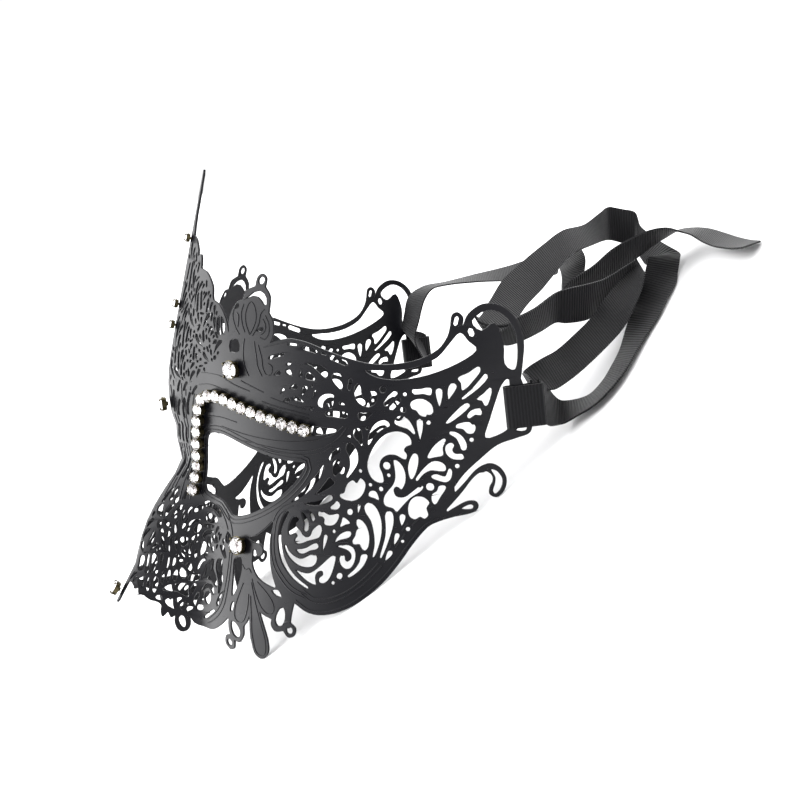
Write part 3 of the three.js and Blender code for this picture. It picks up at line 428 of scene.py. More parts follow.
# Slots of one width: start, end, width and sag
slits = [
    (116.4, 37.6, 117, 40.6, 1.2, 0), (120.8, 36.6, 122, 33.8, 1.5, 0), (93.2, 15, 97.9, 19.5, 1.5, 0.3),
    (94.8, 13.5, 98.7, 17.1, 1.4, 0), (53, 32, 59.5, 33.3, 1, 0), (60.8, 36.3, 64.6, 35.8, 0.7, 0),
    (66.2, 35, 71.8, 33.2, 1.2, 0), (72.8, 32.9, 75, 32.2, 0.6, 0), (75.8, 31.7, 82.3, 28.8, 1.6, 0),
    (82, 20.5, 83.1, 24.4, 1.2, 0), (60.2, 29.7, 62.2, 30.4, 0.8, 0),
    # The forehead's fine slits
    (6.5, 54, 5.8, 64.6, 1.3, 0), (7.8, 67.2, 9.2, 64, 0.9, 0), (12.6, 64, 11.9, 60.4, 1, 0),
    (11.8, 57.6, 14.4, 59.2, 0.8, 0.3), (16.1, 47.4, 15.3, 54, 1.2, 0), (18.8, 48.2, 17.7, 54.6, 1.2, 0),
    (20.4, 58, 21, 55.6, 0.8, 0), (22.5, 46.8, 23.2, 52, 1, 0), (18.4, 47.2, 21, 46.9, 0.7, 0),
    (10.4, 50.6, 12.5, 53.6, 0.9, 0.2), (9, 49, 10.3, 46.4, 0.9, 0), (13.3, 49, 13.8, 46, 1, 0),
    (15.3, 45.4, 16.2, 43.7, 0.7, 0), (18.9, 43.7, 17.6, 41.2, 1, 0.2), (8.4, 35.6, 8, 44.6, 1.1, 0.2),
    (10.3, 37.2, 11.5, 43, 1.1, 0.2), (12.8, 37.7, 14.7, 38.4, 0.7, 0), (21.6, 37.5, 21.2, 41.6, 1, 0),
    (23.1, 40.2, 23.4, 38.4, 0.7, 0), (24.5, 39.2, 25.3, 37.5, 0.7, 0), (15.8, 31.4, 16.1, 36.2, 1, 0),
    (18.7, 35.2, 20, 33.9, 0.8, 0), (10.8, 35, 11.5, 33, 0.9, 0), (12.8, 35.4, 13.4, 33.6, 0.8, 0),
    (19.1, 29.4, 21, 29.7, 0.6, 0), (22, 30.6, 23.6, 30.7, 0.6, 0), (25.7, 35.2, 26, 33.2, 0.7, 0),
    (23.4, 36.2, 24.5, 34.2, 0.7, 0), (7.2, 28, 6.3, 34.4, 1, 0.2), (9, 26, 8.8, 30, 0.8, 0),
    (10.6, 28, 10.8, 31, 0.9, 0), (13.4, 25.8, 13.2, 28.8, 0.9, 0), (28.2, 41, 29.6, 38.8, 0.7, 0),
    (25.6, 44.4, 26, 47.4, 0.8, 0), (3, 58, 3.4, 64, 0.9, 0), (3.2, 47, 5, 49.2, 0.8, 0),
    (4.4, 30, 3.6, 36, 0.9, 0),
    # The slit over the nose's cover
    (15.4, -18.3, 22, -22.2, 0.9, 0.4),
    # Down the ridge of the nose
    (7.2, 2, 7.8, 8, 1.1, 0.3), (5.6, -10, 6.8, -3, 1.1, 0.3), (3, -18, 4.4, -13, 0.9, 0.2),
    (7, -15.6, 7.6, -18.4, 0.9, 0), (5.2, 12, 7.4, 18, 1, 0.3), (2.6, 3, 3.2, 9, 0.8, 0),
    (3, 13, 4.2, 21, 0.9, 0.3), (8.2, 11, 10.2, 18.6, 1, 0.4), (10.8, 12.4, 13.6, 20.6, 1, 0.5),
    (6.6, 20.4, 8.4, 24.6, 0.9, 0.2), (10, 20.8, 12.4, 24.2, 0.9, 0.2), (10, 1, 11, 8.6, 0.9, 0.4),
    (4.9, 2.4, 5.5, 10, 0.9, 0.2), (8.2, -10.6, 9.8, -2.4, 1, 0.4), (2.6, -9.6, 3.6, -1, 0.9, 0.2),
    (14.4, 19.6, 17.4, 22.8, 0.8, 0.2), (5.4, -17.4, 6.3, -12.6, 0.8, 0.2),
    (9.2, -17.2, 9.8, -12.6, 0.8, 0.2),
]

# Round holes: place and radius
rings = [
    (48.3, 56.8, 1.2), (60.2, -57.2, 1.2), (32, -64.5, 1.2), (91.7, -3.9, 1.25), (92, -7, 0.6),
    (86.7, 8.5, 0.6), (80.3, 6, 0.6), (82.7, -5.2, 0.6), (85.5, -9.8, 0.6), (88.9, -11.3, 0.75),
    (93.3, 20.2, 1.1), (99.1, 13.4, 0.9), (100.2, 18.2, 0.6), (119.3, 2.2, 0.65), (114, -5.6, 0.7),
    (104.8, -11.5, 1.3), (77.8, -18.4, 1.05), (72.5, -24.6, 0.6), (76.8, -38.8, 1.1), (74.9, -41, 0.65),
    (106.6, 8.8, 0.7), (97, -24.5, 0.7), (95.4, -28.3, 0.5), (68.2, 15.4, 0.6), (69.3, 22.7, 0.4),
    (20.7, 50.2, 0.5), (15.4, 41, 0.5), (23.8, 43.2, 0.6), (19.9, 31.8, 0.5), (12.4, 31.2, 0.5),
    (14.2, 31, 0.5), (18.2, 31, 0.4), (17.6, 29, 0.4), (27.8, 32.4, 0.7), (22, 35.4, 0.5),
]

# Round places for the single crystals, which the fine cuts keep clear of
seat_places = [(34.6, -31, 3.4), (37.6, 28.6, 3.4), (0, 43, 1.4), (0, 50, 1.4), (0, 72, 1.4)]

# Two fields are filled by rule with leaves, given as length and width, the long ones first
nose_region = [(1, -20), (4, -18.6), (11, -18.2), (14.6, -20.4), (16, -25.6), (21.4, -25.6), (25.4, -29.6),
               (27.4, -35), (26, -35.8), (22, -34), (17.6, -37), (17, -44), (16.6, -52), (15.4, -56),
               (11.4, -55.4), (7.4, -48.8), (4, -45.6), (1, -44)]
nose_leaves = [(4.2, 1.3), (2.8, 1.1), (1.9, 0.9), (1.3, 0.7)]
nose_gap = 0.42
forehead_region = [(1, 24), (14, 24), (24, 28.6), (30, 34), (32.6, 40), (29, 48), (24, 54), (13, 61),
                   (6, 70), (2.2, 71), (1, 66)]
forehead_leaves = [(8, 1.5), (6, 1.4), (4.4, 1.3), (3.2, 1.1), (2.2, 1), (1.4, 0.8)]
forehead_gap = 0.45
leaf_step = 1.1
leaf_sag = 0.08

# The cuts in the nose's cover are widened by the first of these amounts that leaves a strand between them
cover = [(5, -22), (12, -18), (22, -20.5), (30, -30), (31, -48), (26, -55), (12, -56), (6, -48), (1.5, -40),
         (1.5, -26)]
widenings = (0.9, 0.6, 0.4, 0.25, 0.1)
strand = 0.45


def smooth(t):
    """A soft step from 0 to 1."""
    t = min(max(t, 0), 1)
    return t * t * (3 - 2 * t)


def hump(t):
    """A rounded rise that is 1 in the middle and 0 from t = -1 down and from t = 1 up."""
    return max(0, 1 - t * t) ** 1.3


def through(points, steps=5, closed=False):
    """A smooth curve through the points."""
    count = len(points)
    curve = []
    for i in range(count if closed else count - 1):
        places = [(i + k) % count if closed else min(max(i + k, 0), count - 1) for k in (-1, 0, 1, 2)]
        for step in range(steps):
            t = step / steps
            weights = (-t + 2 * t**2 - t**3, 2 - 5 * t**2 + 3 * t**3, t + 4 * t**2 - 3 * t**3, t**3 - t**2)
            pulls = [(weight, points[place]) for weight, place in zip(weights, places)]
            curve.append(tuple(sum(weight * point[axis] for weight, point in pulls) / 2 for axis in (0, 1)))
    return curve if closed else curve + [tuple(points[-1])]


def teardrop(row, steps):
    """A drop from a sharp tail to a round head, its spine sagging by bend."""
    tail_u, tail_v, head_u, head_v, width, bend = row
    run = (head_u - tail_u, head_v - tail_v)
    length = math.hypot(*run)
    aside = (-run[1] / length, run[0] / length)
    widest = 1 - width / 2 / length
    outline = [(tail_u, tail_v)]
    for i in range(1 - steps, steps):
        along = 1 - (abs(i) / steps) ** 1.5
        if along < widest:
            reach = math.sin(along / widest * math.pi / 2)
        else:
            reach = math.sqrt(max(0, 1 - ((along - widest) / (1 - widest)) ** 2))
        sag = bend * 4 * along * (1 - along)
        if i != 0:
            sag += math.copysign(reach * width / 2, i)
        outline.append((tail_u + run[0] * along + aside[0] * sag, tail_v + run[1] * along + aside[1] * sag))
    return outline


def ring(row, sides=10):
    u, v, radius = row
    turns = [2 * math.pi * i / sides for i in range(sides)]
    return [(u + radius * math.cos(turn), v + radius * math.sin(turn)) for turn in turns]


def slit(row, steps=2):
    """A slot of one width with short pointed ends, sagging by bend."""
    tail_u, tail_v, head_u, head_v, width, bend = row
    run = (head_u - tail_u, head_v - tail_v)
    length = math.hypot(*run)
    along, aside = (run[0] / length, run[1] / length), (-run[1] / length, run[0] / length)
    outline = []
    half = width / 2
    for way in (1, -1):
        for i in range(steps + 1):
            t = i / steps if way == 1 else 1 - i / steps
            sag = bend * 4 * t * (1 - t) - way * half
            reach = half + (length - width) * t
            outline.append((tail_u + along[0] * reach + aside[0] * sag,
                            tail_v + along[1] * reach + aside[1] * sag))
        tip = length if way == 1 else 0
        outline.append((tail_u + along[0] * tip, tail_v + along[1] * tip))
    return outline


def upward(u, v):
    """The way the leaves of the nose's cover point."""
    return math.pi / 2 + 0.5 * math.sin(u * 0.7 + v * 0.35)


def swirling(u, v):
    """The way the leaves of the forehead point."""
    return math.pi / 2 + 0.8 * math.sin(u * 0.32 + v * 0.21)


def inside(place, loop):
    """Whether a place on the flat sheet lies within a closed loop."""
    within = False
    for (u, v), (next_u, next_v) in zip(loop, loop[1:] + loop[:1]):
        if (v > place[1]) != (next_v > place[1]):
            within ^= place[0] < (next_u - u) * (place[1] - v) / (next_v - v) + u
    return within


def edge_distance(place, loop):
    """How far a place on the flat sheet is from the nearest side of a loop."""
    nearest = math.inf
    for (u, v), (next_u, next_v) in zip(loop, loop[1:] + loop[:1]):
        run_u, run_v = next_u - u, next_v - v
        square = run_u**2 + run_v**2 or 1
        along = min(max(((place[0] - u) * run_u + (place[1] - v) * run_v) / square, 0), 1)
        nearest = min(nearest, math.dist(place, (u + run_u * along, v + run_v * along)))
    return nearest


def box_of(loop):
    us, vs = [u for u, v in loop], [v for u, v in loop]
    return min(us), min(vs), max(us), max(vs)


def is_crowded(loop, others, gap):
    """Whether a cut overlaps any other cut or comes nearer than the gap to one, or to the sheet's edge."""
    low_u, low_v, high_u, high_v = box_of(loop)
    for other, (u0, v0, u1, v1) in reversed(others):
        if low_u - gap > u1 or high_u + gap < u0 or low_v - gap > v1 or high_v + gap < v0:
            continue
        if other is not edge and (inside(loop[len(loop) // 2], other) or inside(other[0], loop)):
            return True
        if any(edge_distance(place, other) < gap for place in loop):
            return True
        if any(edge_distance(place, loop) < gap for place in other):
            return True
    return False


def fill_with_leaves(region, sizes, lean_at, gap):
    """Ever smaller leaves on a close grid, where they lie in the region and clear of every cut so far."""
    low_u, low_v, high_u, high_v = box_of(region)
    for length, width in sizes:
        v = low_v
        while v < high_v:
            u = low_u
            while u < high_u:
                lean = lean_at(u, v)
                half_u, half_v = length / 2 * math.cos(lean), length / 2 * math.sin(lean)
                row = (u - half_u, v - half_v, u + half_u, v + half_v, width, length * leaf_sag)
                if inside(row[0:2], region) and inside(row[2:4], region):
                    leaf = teardrop(row, 4)
                    if not is_crowded(leaf, kept, gap):
                        kept.append((leaf, box_of(leaf)))
                        filled.append(leaf)
                u += leaf_step
            v += leaf_step


def widened(loop, by):
    """A cut grown by one distance on every side."""
    area = sum(u * next_v - next_u * v for (u, v), (next_u, next_v) in zip(loop, loop[1:] + loop[:1]))
    way = math.copysign(by, area)
    grown = []
    for (u, v), before, after in zip(loop, loop[-1:] + loop[:-1], loop[1:] + loop[:1]):
        run_u, run_v = after[0] - before[0], after[1] - before[1]
        length = math.hypot(run_u, run_v) or 1
        grown.append((u + run_v / length * way, v - run_u / length * way))
    return grown


edge = []
for stretch in edge_stretches:
    for place in through(stretch, edge_steps):
        if not edge or math.dist(place, edge[-1]) > same_place:
            edge.append(place)
# A cut with few places is small, and takes fewer steps between them
drawn = [through(cut, 2 if len(cut) < 8 else 3, closed=True) for cut in openings]
drawn += [teardrop(row, 5) for row in teardrops]
drawn += [slit(row) for row in slits]
drawn += [ring(row) for row in rings]
seats = [ring(row) for row in seat_places]
kept = [(loop, box_of(loop)) for loop in [edge] + drawn + seats]
filled = []
fill_with_leaves(nose_region, nose_leaves, upward, nose_gap)
fill_with_leaves(forehead_region, forehead_leaves, swirling, forehead_gap)
for loops in (drawn, filled):
    for k, loop in enumerate(loops):
        if not inside(loop[0], cover):
            continue
        others = [item for item in kept if item[0] is not loop]
        for by in widenings:
            wide = widened(loop, by)
            if not is_crowded(wide, others, strand):
                kept = others + [(wide, box_of(wide))]
                loops[k] = wide
                break


def formed(u, v):
    """The pressed face in millimetres: u is the way along the sheet from its centre line, v the height."""
    reach = abs(u)
    turn = ridge_angle + reach / plan_radius
    out = plan_radius * (math.sin(turn) - math.sin(ridge_angle))
    back = plan_radius * (math.cos(ridge_angle) - math.cos(turn))
    centre = -3.6 * hump((v + 22) / 17) - 1.8 * hump((v - 1.5) / 7)
    if v < 0:
        centre -= 0.68 * (math.hypot(v, 6) - 6)
    else:
        centre += 0.165 * (v - 25 + math.hypot(v - 25, 6)) - 2.9 * smooth(v / 15)
    ridge = 1 - smooth(reach / (23 + 3 * math.tanh(v / 10)))
    forehead_lean = 0.0032 * max(0, v - 15) ** 2
    cheek_swell = -10 * smooth((-v - 12) / 50) * (1 - smooth((reach - 75) / 45))
    deep = back + centre * ridge + (forehead_lean + cheek_swell) * (1 - ridge)
    return Vector((math.copysign(out, u), deep, v))


def outward(u, v):
    """The way the face of the sheet looks at a place on it."""
    step = 0.05
    side = max(abs(u), step)
    across = formed(side + step, v) - formed(side - step, v)
    up = formed(side, v + step) - formed(side, v - step)
    normal = across.cross(up)
    if u < 0:
        normal.x = -normal.x
    if u == 0:
        normal.x = 0
    return normal.normalized()


def on_sheet(u, v, lift=0):
    """A place on the leaning mask in metres, lifted off the sheet by some millimetres."""
    return leaning @ (formed(u, v) + outward(u, v) * lift)


def add_object(name, data):
    """A new piece from a mesh or a curve."""
    piece = bpy.data.objects.new(name, data)
    bpy.context.scene.collection.objects.link(piece)
    return piece


def add_line(drawing, places, closed=False):
    """Adds a line of straight stretches to a curve."""
    line = drawing.splines.new("POLY")
    line.points.add(len(places) - 1)
    for point, place in zip(line.points, places):
        point.co = (*place, 1)
    line.use_cyclic_u = closed
    return line


def select_alone(*pieces):
    """Selects these pieces and no others, and makes the first one active."""
    bpy.ops.object.select_all(action="DESELECT")
    for piece in pieces:
        piece.select_set(True)
    bpy.context.view_layer.objects.active = pieces[0]


def start_edit(piece, whole=True):
    """Opens the mesh of one piece, with all of it selected or only the corners that are marked."""
    select_alone(piece)
    bpy.ops.object.mode_set(mode="EDIT")
    bpy.ops.mesh.select_mode(type="VERT")
    if whole:
        bpy.ops.mesh.select_all(action="SELECT")


def end_edit():
    bpy.ops.object.mode_set(mode="OBJECT")
    bpy.ops.object.select_all(action="DESELECT")


def apply_modifier(piece, kind, **settings):
    """Adds one modifier to a piece and applies it at once."""
    select_alone(piece)
    modifier = piece.modifiers.new(kind.lower(), kind)
    for setting, value in settings.items():
        setattr(modifier, setting, value)
    bpy.ops.object.modifier_apply(modifier=modifier.name)
    piece.select_set(False)


def soften(piece, degrees=35):
    """Shades a piece smoothly, apart from edges sharper than the angle."""
    select_alone(piece)
    bpy.ops.object.shade_smooth_by_angle(angle=math.radians(degrees))
    piece.select_set(False)


flat_drawing = bpy.data.curves.new("flat_half", "CURVE")
flat_drawing.dimensions = "2D"
flat_drawing.fill_mode = "BOTH"
for loop in [edge] + drawn + filled:
    add_line(flat_drawing, [(u, v, 0) for u, v in loop], closed=True)
sheet = add_object("pierced_sheet", flat_drawing)
select_alone(sheet)
bpy.ops.object.convert(target="MESH")

# The flat mesh is cut along lines close enough for it to bend, closest over the nose
bend_us = [*range(3, 34, 3), *range(38, 140, 5)]
bend_vs = [*range(-64, -4, 5), *range(-4, 8, 2), *range(8, 94, 5)]
bend_lines = [((u, 0, 0), (1, 0, 0)) for u in bend_us]
bend_lines += [((0, v, 0), (0, 1, 0)) for v in bend_vs]
start_edit(sheet)
for line_place, line_way in bend_lines:
    bpy.ops.mesh.select_all(action="SELECT")
    bpy.ops.mesh.bisect(plane_co=line_place, plane_no=line_way)
bpy.ops.mesh.select_all(action="SELECT")
bpy.ops.mesh.remove_doubles(threshold=0.01)
bpy.ops.mesh.vert_connect_concave()
end_edit()
apply_modifier(sheet, "MIRROR", use_axis=(True, False, False), merge_threshold=0.005)
for vertex in sheet.data.vertices:
    vertex.co = on_sheet(vertex.co.x, vertex.co.y)
apply_modifier(sheet, "SOLIDIFY", thickness=sheet_thickness * 0.001, offset=-1)
apply_modifier(sheet, "BEVEL", width=edge_round * 0.001, segments=1, limit_method="ANGLE", angle_limit=0.9,
               use_clamp_overlap=False)
soften(sheet)

# Lines pressed into the sheet: fine rounded beads that follow the eyes, the brow, the cheeks and leaves.
# They are part of the sheet. A bead stops wherever the sheet is cut away.
bead_radius = 0.24
bead_sink = 0.02
bead_steps = 5
centre_gap = 0.4
medallion_line = [(56.6, -16.6), (52.6, -18.4), (50, -21.4), (49.4, -26), (50, -31), (52.2, -35.8),
                  (56, -39.8), (60.4, -43), (66, -45)]
bead_paths = [
    # Over and under the row of crystals
    [(17, 27.4), (23, 27.2), (30, 26.4), (34, 24.8), (38, 23.2), (44, 21.4)],
    [(18.6, 23.2), (24, 23.4), (30, 22.2), (35, 20.3)],
    [(40.5, 24.8), (45, 23), (50, 21)],
    [(49, 18), (56, 16), (62, 14.6), (67, 13.4)],
    [(50.5, 16.4), (56, 14.9), (62, 13.5), (66.8, 12.3)],
    [(53, 19.2), (59, 17.2), (66, 15.2)],
    [(22, 12.6), (29, 12.2), (36, 10.8)],
    [(28, 9.2), (37, 7.3), (45, 5.9), (54, 4.9), (62, 4.7), (69, 5.3), (75, 6.8), (79, 9.4)],
    [(38, 4.6), (46, 3.4), (54, 2.2), (60, 1.7), (66, 1.8), (72, 3.3), (77, 5.9), (80, 9)],
    [(44, 2.6), (52, 1.1), (60, 0.4), (66, 0.5), (71, 1.5), (74, 3)],
    # Round the nose's cover
    [(24.8, -19.6), (28.2, -24.6), (30.2, -30), (30.9, -36), (31.3, -42), (31, -48), (29.8, -52.4),
     (26.4, -56.4), (21, -59.4), (17.4, -59.6)],
    [(20, -18.6), (24, -22.4), (27.4, -27.6), (29.2, -33), (29.8, -39), (29.8, -45), (28.6, -51),
     (25.4, -55), (20.6, -58), (17.6, -58.4)],
    [(9, -54.6), (12, -51.6), (14.6, -52.6), (15.6, -55)],
    # The drop and its leaves below the cheek stone
    [(42.4, -42.6), (44.4, -47), (46.6, -52), (48.6, -57), (49.7, -61.5), (49, -65.8), (46.8, -67.2),
     (44.6, -65.6), (44, -60), (43.9, -54), (42.8, -47)],
    [(41.8, -46.6), (41.9, -51), (40.6, -55.2), (38.2, -56.6), (36, -55.2), (35.9, -51.6), (37.2, -47.4),
     (38.6, -43.2)],
    [(42.4, -41.4), (45, -46), (48.4, -50.6), (51.6, -52.4), (53.6, -51), (52.6, -48), (49, -44.8),
     (45, -42.2)],
    [(36, -36.2), (38.4, -38.6), (40.2, -38.2), (41.6, -39.6)],
    # The fan above the brow
    [(45, 39.8), (43.2, 43.4), (42.8, 47), (44.4, 50.2), (46.6, 48.6), (47.6, 45), (46.6, 42), (45, 39.8)],
    [(46.2, 39.4), (48.6, 42.6), (49.4, 46.2), (50.8, 47.6)],
    [(42.8, 40.6), (41.4, 43.6), (40.8, 47), (41.6, 49.6)],
    [(40.2, 40), (38.2, 42.6), (36.8, 46), (37.2, 48.4)],
    [(39.4, 42.4), (39.6, 45.6), (38.6, 47)],
    [(51.4, 45.6), (53, 43), (53.2, 40), (51.6, 38.2), (49.6, 38.6)],
    [(50.4, 44.6), (51.7, 42.6), (51.4, 40.6), (49.8, 39.6)],
    [(42.6, 38.6), (42, 34), (42.6, 30), (44.2, 26.4)],
    [(47, 37.6), (47.9, 33), (48.4, 29.4), (50, 26.2)],
    [(48.8, 36.4), (50.2, 32.2), (50.6, 29), (52, 26.6), (54, 27), (54.4, 29.2), (52.8, 30.4)],
    [(51, 35.6), (56, 36.4), (62, 36.9), (69, 35.4), (76, 32.4), (83, 29.4)],
]
# Tall strokes run down from the forehead between the brows and along the nose's ridge
for k in range(7):
    bead_paths.append([(1.6 + 2.5 * k, 25 - 0.5 * k), (2.6 + 2.05 * k, 18), (2.3 + 1.75 * k, 11),
                       (1.7 + 1.6 * k, 4)])
    bead_paths.append([(1.6 + 1.5 * k, 2), (1.4 + 1.45 * k, -4), (1.8 + 1.35 * k, -10),
                       (2.6 + 1.4 * k, -17)])


def beside(path, distance, closed=False):
    """A line at one distance to the left of a path."""
    count = len(path)
    moved = []
    for i, (u, v) in enumerate(path):
        before = path[i - 1] if closed or i else path[0]
        after = path[(i + 1) % count] if closed or i < count - 1 else path[-1]
        run = (after[0] - before[0], after[1] - before[1])
        length = math.hypot(*run)
        moved.append((u - run[1] / length * distance, v + run[0] / length * distance))
    return moved


def on_metal(place, margin=0.3):
    """Whether a place lies on the sheet, clear of its edge and of every cut."""
    for loop, (u0, v0, u1, v1) in kept:
        if loop in seats:
            continue
        if u0 - margin < place[0] < u1 + margin and v0 - margin < place[1] < v1 + margin:
            if inside(place, loop) != (loop is edge) or edge_distance(place, loop) < margin:
                return False
    return True


eye_loop = through(openings[0], 3, closed=True)
cheek_edge = through(cheek_line, bead_steps)
medallion_rim = through(medallion_line, bead_steps)
bead_paths = [through(path, bead_steps) for path in bead_paths]
bead_paths += [beside(eye_loop, distance, closed=True) for distance in (1.2, 2.5)]
bead_paths += [beside(cheek_edge, -distance) for distance in (1.2, 4, 5.4)]
bead_paths += [medallion_rim, beside(medallion_rim, -1.3)]
bead_drawing = bpy.data.curves.new("beads", "CURVE")
bead_drawing.dimensions = "3D"
bead_drawing.bevel_depth = bead_radius * 0.001
bead_drawing.bevel_resolution = 0
for path in bead_paths:
    stretch = []
    for place in path + [None]:
        if place and place[0] > centre_gap and on_metal(place):
            stretch.append(place)
            continue
        if len(stretch) > 2:
            for hand in (1, -1):
                add_line(bead_drawing, [on_sheet(u * hand, v, -bead_sink) for u, v in stretch])
        stretch = []
beads = add_object("beads", bead_drawing)
select_alone(beads)
bpy.ops.object.convert(target="MESH")
bpy.ops.object.shade_smooth()
select_alone(sheet, beads)
bpy.ops.object.join()
bpy.ops.object.select_all(action="DESELECT")


def add_bump(tree, height, strength, distance, shader):
    """Raises the surface of a shader by a height."""
    bump = tree.nodes.new("ShaderNodeBump")
    bump.inputs["Strength"].default_value = strength
    bump.inputs["Distance"].default_value = distance
    tree.links.new(height, bump.inputs["Height"])
    tree.links.new(bump.outputs["Normal"], shader.inputs["Normal"])


# The coat is a satin black lacquer: near black, a little uneven, with a fine orange-peel skin
coat_values = {"Metallic": 0.0, "Specular IOR Level": 0.16, "Coat Weight": 0.06, "Coat Roughness": 0.22}
black_coat, coat_tree, coat = new_material("black_coat", coat_values)
metal_place = coat_tree.nodes.new("ShaderNodeTexCoord").outputs["Object"]
clouds = add_noise(coat_tree, metal_place, 45, detail=3).outputs["Fac"]
coat_tones = add_tones(coat_tree, clouds, (0.003, 0.003, 0.005), (0.007, 0.007, 0.009), start=0.3, end=0.7)
coat_tree.links.new(coat_tones, coat.inputs["Base Color"])
coat_tree.links.new(add_range(coat_tree, clouds, 0.28, 0.38), coat.inputs["Roughness"])
skin = add_noise(coat_tree, metal_place, 1400).outputs["Fac"]
add_bump(coat_tree, skin, 0.12, 0.0001, coat)
sheet.data.materials.append(black_coat)
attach(sheet, "root")
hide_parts("metal_mask")

# The crystals are cut stones with silver foil behind them, each gripped by four claws of a dark brass cup.
# One is modelled for each size and copied to every place. Stones stand square to the sheet.
large_radius = 3
crest_radius = 2.4
forehead_radius = 1.4
row_radius = 2.1
row_line = [(12.2, -13.7), (13, -7), (14.6, 0.5), (16.4, 7.5), (18.6, 14), (21, 18.2), (25.1, 19.8),
            (30.4, 19.6), (35.2, 18.2), (40.1, 16.6), (46, 14.6), (56, 11.5), (65.8, 8.8)]
row_count = 20
row_start = 2
low_stand = 0.3
high_stand = 1.1
cup_floor = 0.6
row_cup_floor = 0.15
row_cup_rim = 2.05
row_stone_lift = 1.5
hands = (("left", 1), ("right", -1))

crystal = new_material("clear_crystal", {"Base Color": (1, 1, 1, 1), "Roughness": 0, "IOR": 1.58,
                                         "Transmission Weight": 1})[0]

foil, foil_tree, silver = new_material("silver_foil", {"Metallic": 1, "Roughness": 0.12})
foil_place = foil_tree.nodes.new("ShaderNodeTexCoord").outputs["Object"]
creases = add_noise(foil_tree, foil_place, 420).outputs["Fac"]
foil_tones = add_tones(foil_tree, creases, (0.3, 0.27, 0.27), (0.8, 0.79, 0.78), start=0.35, end=0.6)
foil_tree.links.new(foil_tones, silver.inputs["Base Color"])

claw_metal, claw_tree, brass = new_material("dark_brass", {"Metallic": 0.85})
claw_place = claw_tree.nodes.new("ShaderNodeTexCoord").outputs["Object"]
tarnish = add_noise(claw_tree, claw_place, 600).outputs["Fac"]
brass_tones = add_tones(claw_tree, tarnish, (0.018, 0.015, 0.008), (0.115, 0.095, 0.045))
claw_tree.links.new(brass_tones, brass.inputs["Base Color"])
claw_tree.links.new(add_range(claw_tree, tarnish, 0.3, 0.5), brass.inputs["Roughness"])


def seat_at(u, v, lift):
    """The turn and place of something that stands square to the sheet, drawn in millimetres."""
    normal = outward(u, v)
    across = Vector((0, 0, 1)).cross(normal).normalized()
    up = normal.cross(across)
    turn = Matrix((across, up, normal)).transposed().to_4x4()
    return leaning @ Matrix.Translation(formed(u, v) + normal * lift) @ turn


def cut_stone(radius):
    """A cut stone as the hull of its corners: table, star facets, girdle and pointed back."""
    # Each level has its reach and height as shares of the radius, its corners, and their turn in steps
    levels = [(0.56, 0.42, 8, 0), (0.84, 0.24, 8, 0.5), (0.99, 0.03, 16, 0), (0.99, -0.05, 16, 0),
              (0.5, -0.3, 8, 0.5), (0, -0.5, 1, 0)]
    foil_height = -0.08
    corners = []
    for share, height, sides, offset in levels:
        reach = radius * share
        for i in range(sides):
            turn = 2 * math.pi * (i + offset) / sides
            corners.append((reach * math.cos(turn), reach * math.sin(turn), radius * height))
    mesh = bpy.data.meshes.new("cut_stone")
    mesh.from_pydata(corners, [], [])
    stone = add_object("cut_stone", mesh)
    start_edit(stone)
    bpy.ops.mesh.convex_hull()
    bpy.ops.mesh.normals_make_consistent(inside=False)
    end_edit()
    stone.data.materials.append(crystal)
    stone.data.materials.append(foil)
    for face in stone.data.polygons:
        face.material_index = 1 if face.center.z < foil_height * radius else 0
    return stone


def claw_cup(radius, floor_height, rim_height, sides, stalk=0):
    """A tapered cup with four claws bent in over the stone's girdle, and a stalk where it stands off."""
    wall = 0.25
    wall_reach = radius + 0.22
    taper = 0.82
    claw_radius = 0.1 * radius
    bpy.ops.object.select_all(action="DESELECT")
    bpy.ops.mesh.primitive_cylinder_add(vertices=sides, radius=wall_reach, depth=rim_height - floor_height,
                                        end_fill_type="NOTHING",
                                        location=(0, 0, (rim_height + floor_height) / 2))
    cup = bpy.context.object
    bpy.ops.object.transform_apply(location=True)
    start_edit(cup)
    bpy.ops.mesh.select_all(action="DESELECT")
    end_edit()
    for vertex in cup.data.vertices:
        vertex.select = vertex.co.z < floor_height + 0.01
    start_edit(cup, whole=False)
    bpy.ops.transform.resize(value=(taper, taper, 1))
    bpy.ops.mesh.edge_face_add()
    bpy.ops.mesh.select_all(action="SELECT")
    bpy.ops.mesh.normals_make_consistent(inside=False)
    end_edit()
    apply_modifier(cup, "SOLIDIFY", thickness=wall, offset=-1)
    claws = bpy.data.curves.new("claws", "CURVE")
    claws.dimensions = "3D"
    claws.bevel_depth = claw_radius
    claws.bevel_resolution = 1
    claws.use_fill_caps = True
    grip = [(wall_reach, rim_height - 0.55 * radius), (radius + 0.3, rim_height + 0.35),
            (radius + 0.12, rim_height + 0.75), (radius * 0.8, rim_height + 0.95)]
    for quarter in range(4):
        turn = math.pi / 2 * (quarter + 0.5)
        add_line(claws, [(out * math.cos(turn), out * math.sin(turn), height) for out, height in grip])
    if stalk:
        post = add_line(claws, [(0, 0, -stalk), (0, 0, floor_height + 0.1)])
        post.points[0].radius = 3
        post.points[1].radius = 4
    claw_piece = add_object("claws", claws)
    select_alone(claw_piece)
    bpy.ops.object.convert(target="MESH")
    select_alone(cup, claw_piece)
    bpy.ops.object.join()
    soften(cup, 40)
    cup.data.materials.append(claw_metal)
    return cup


def copy_to(model, name, place):
    """A copy of a model with its own mesh, put in its place on the mask."""
    copy = add_object(name, model.data.copy())
    copy.data.transform(place)
    return copy


def add_piece(piece, slot, *nodes):
    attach(piece, "root")
    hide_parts(*nodes)


def lengths_along(places):
    """How far along a line each of its places is."""
    lengths = [0]
    for before, after in zip(places, places[1:]):
        lengths.append(lengths[-1] + math.dist(before, after))
    return lengths


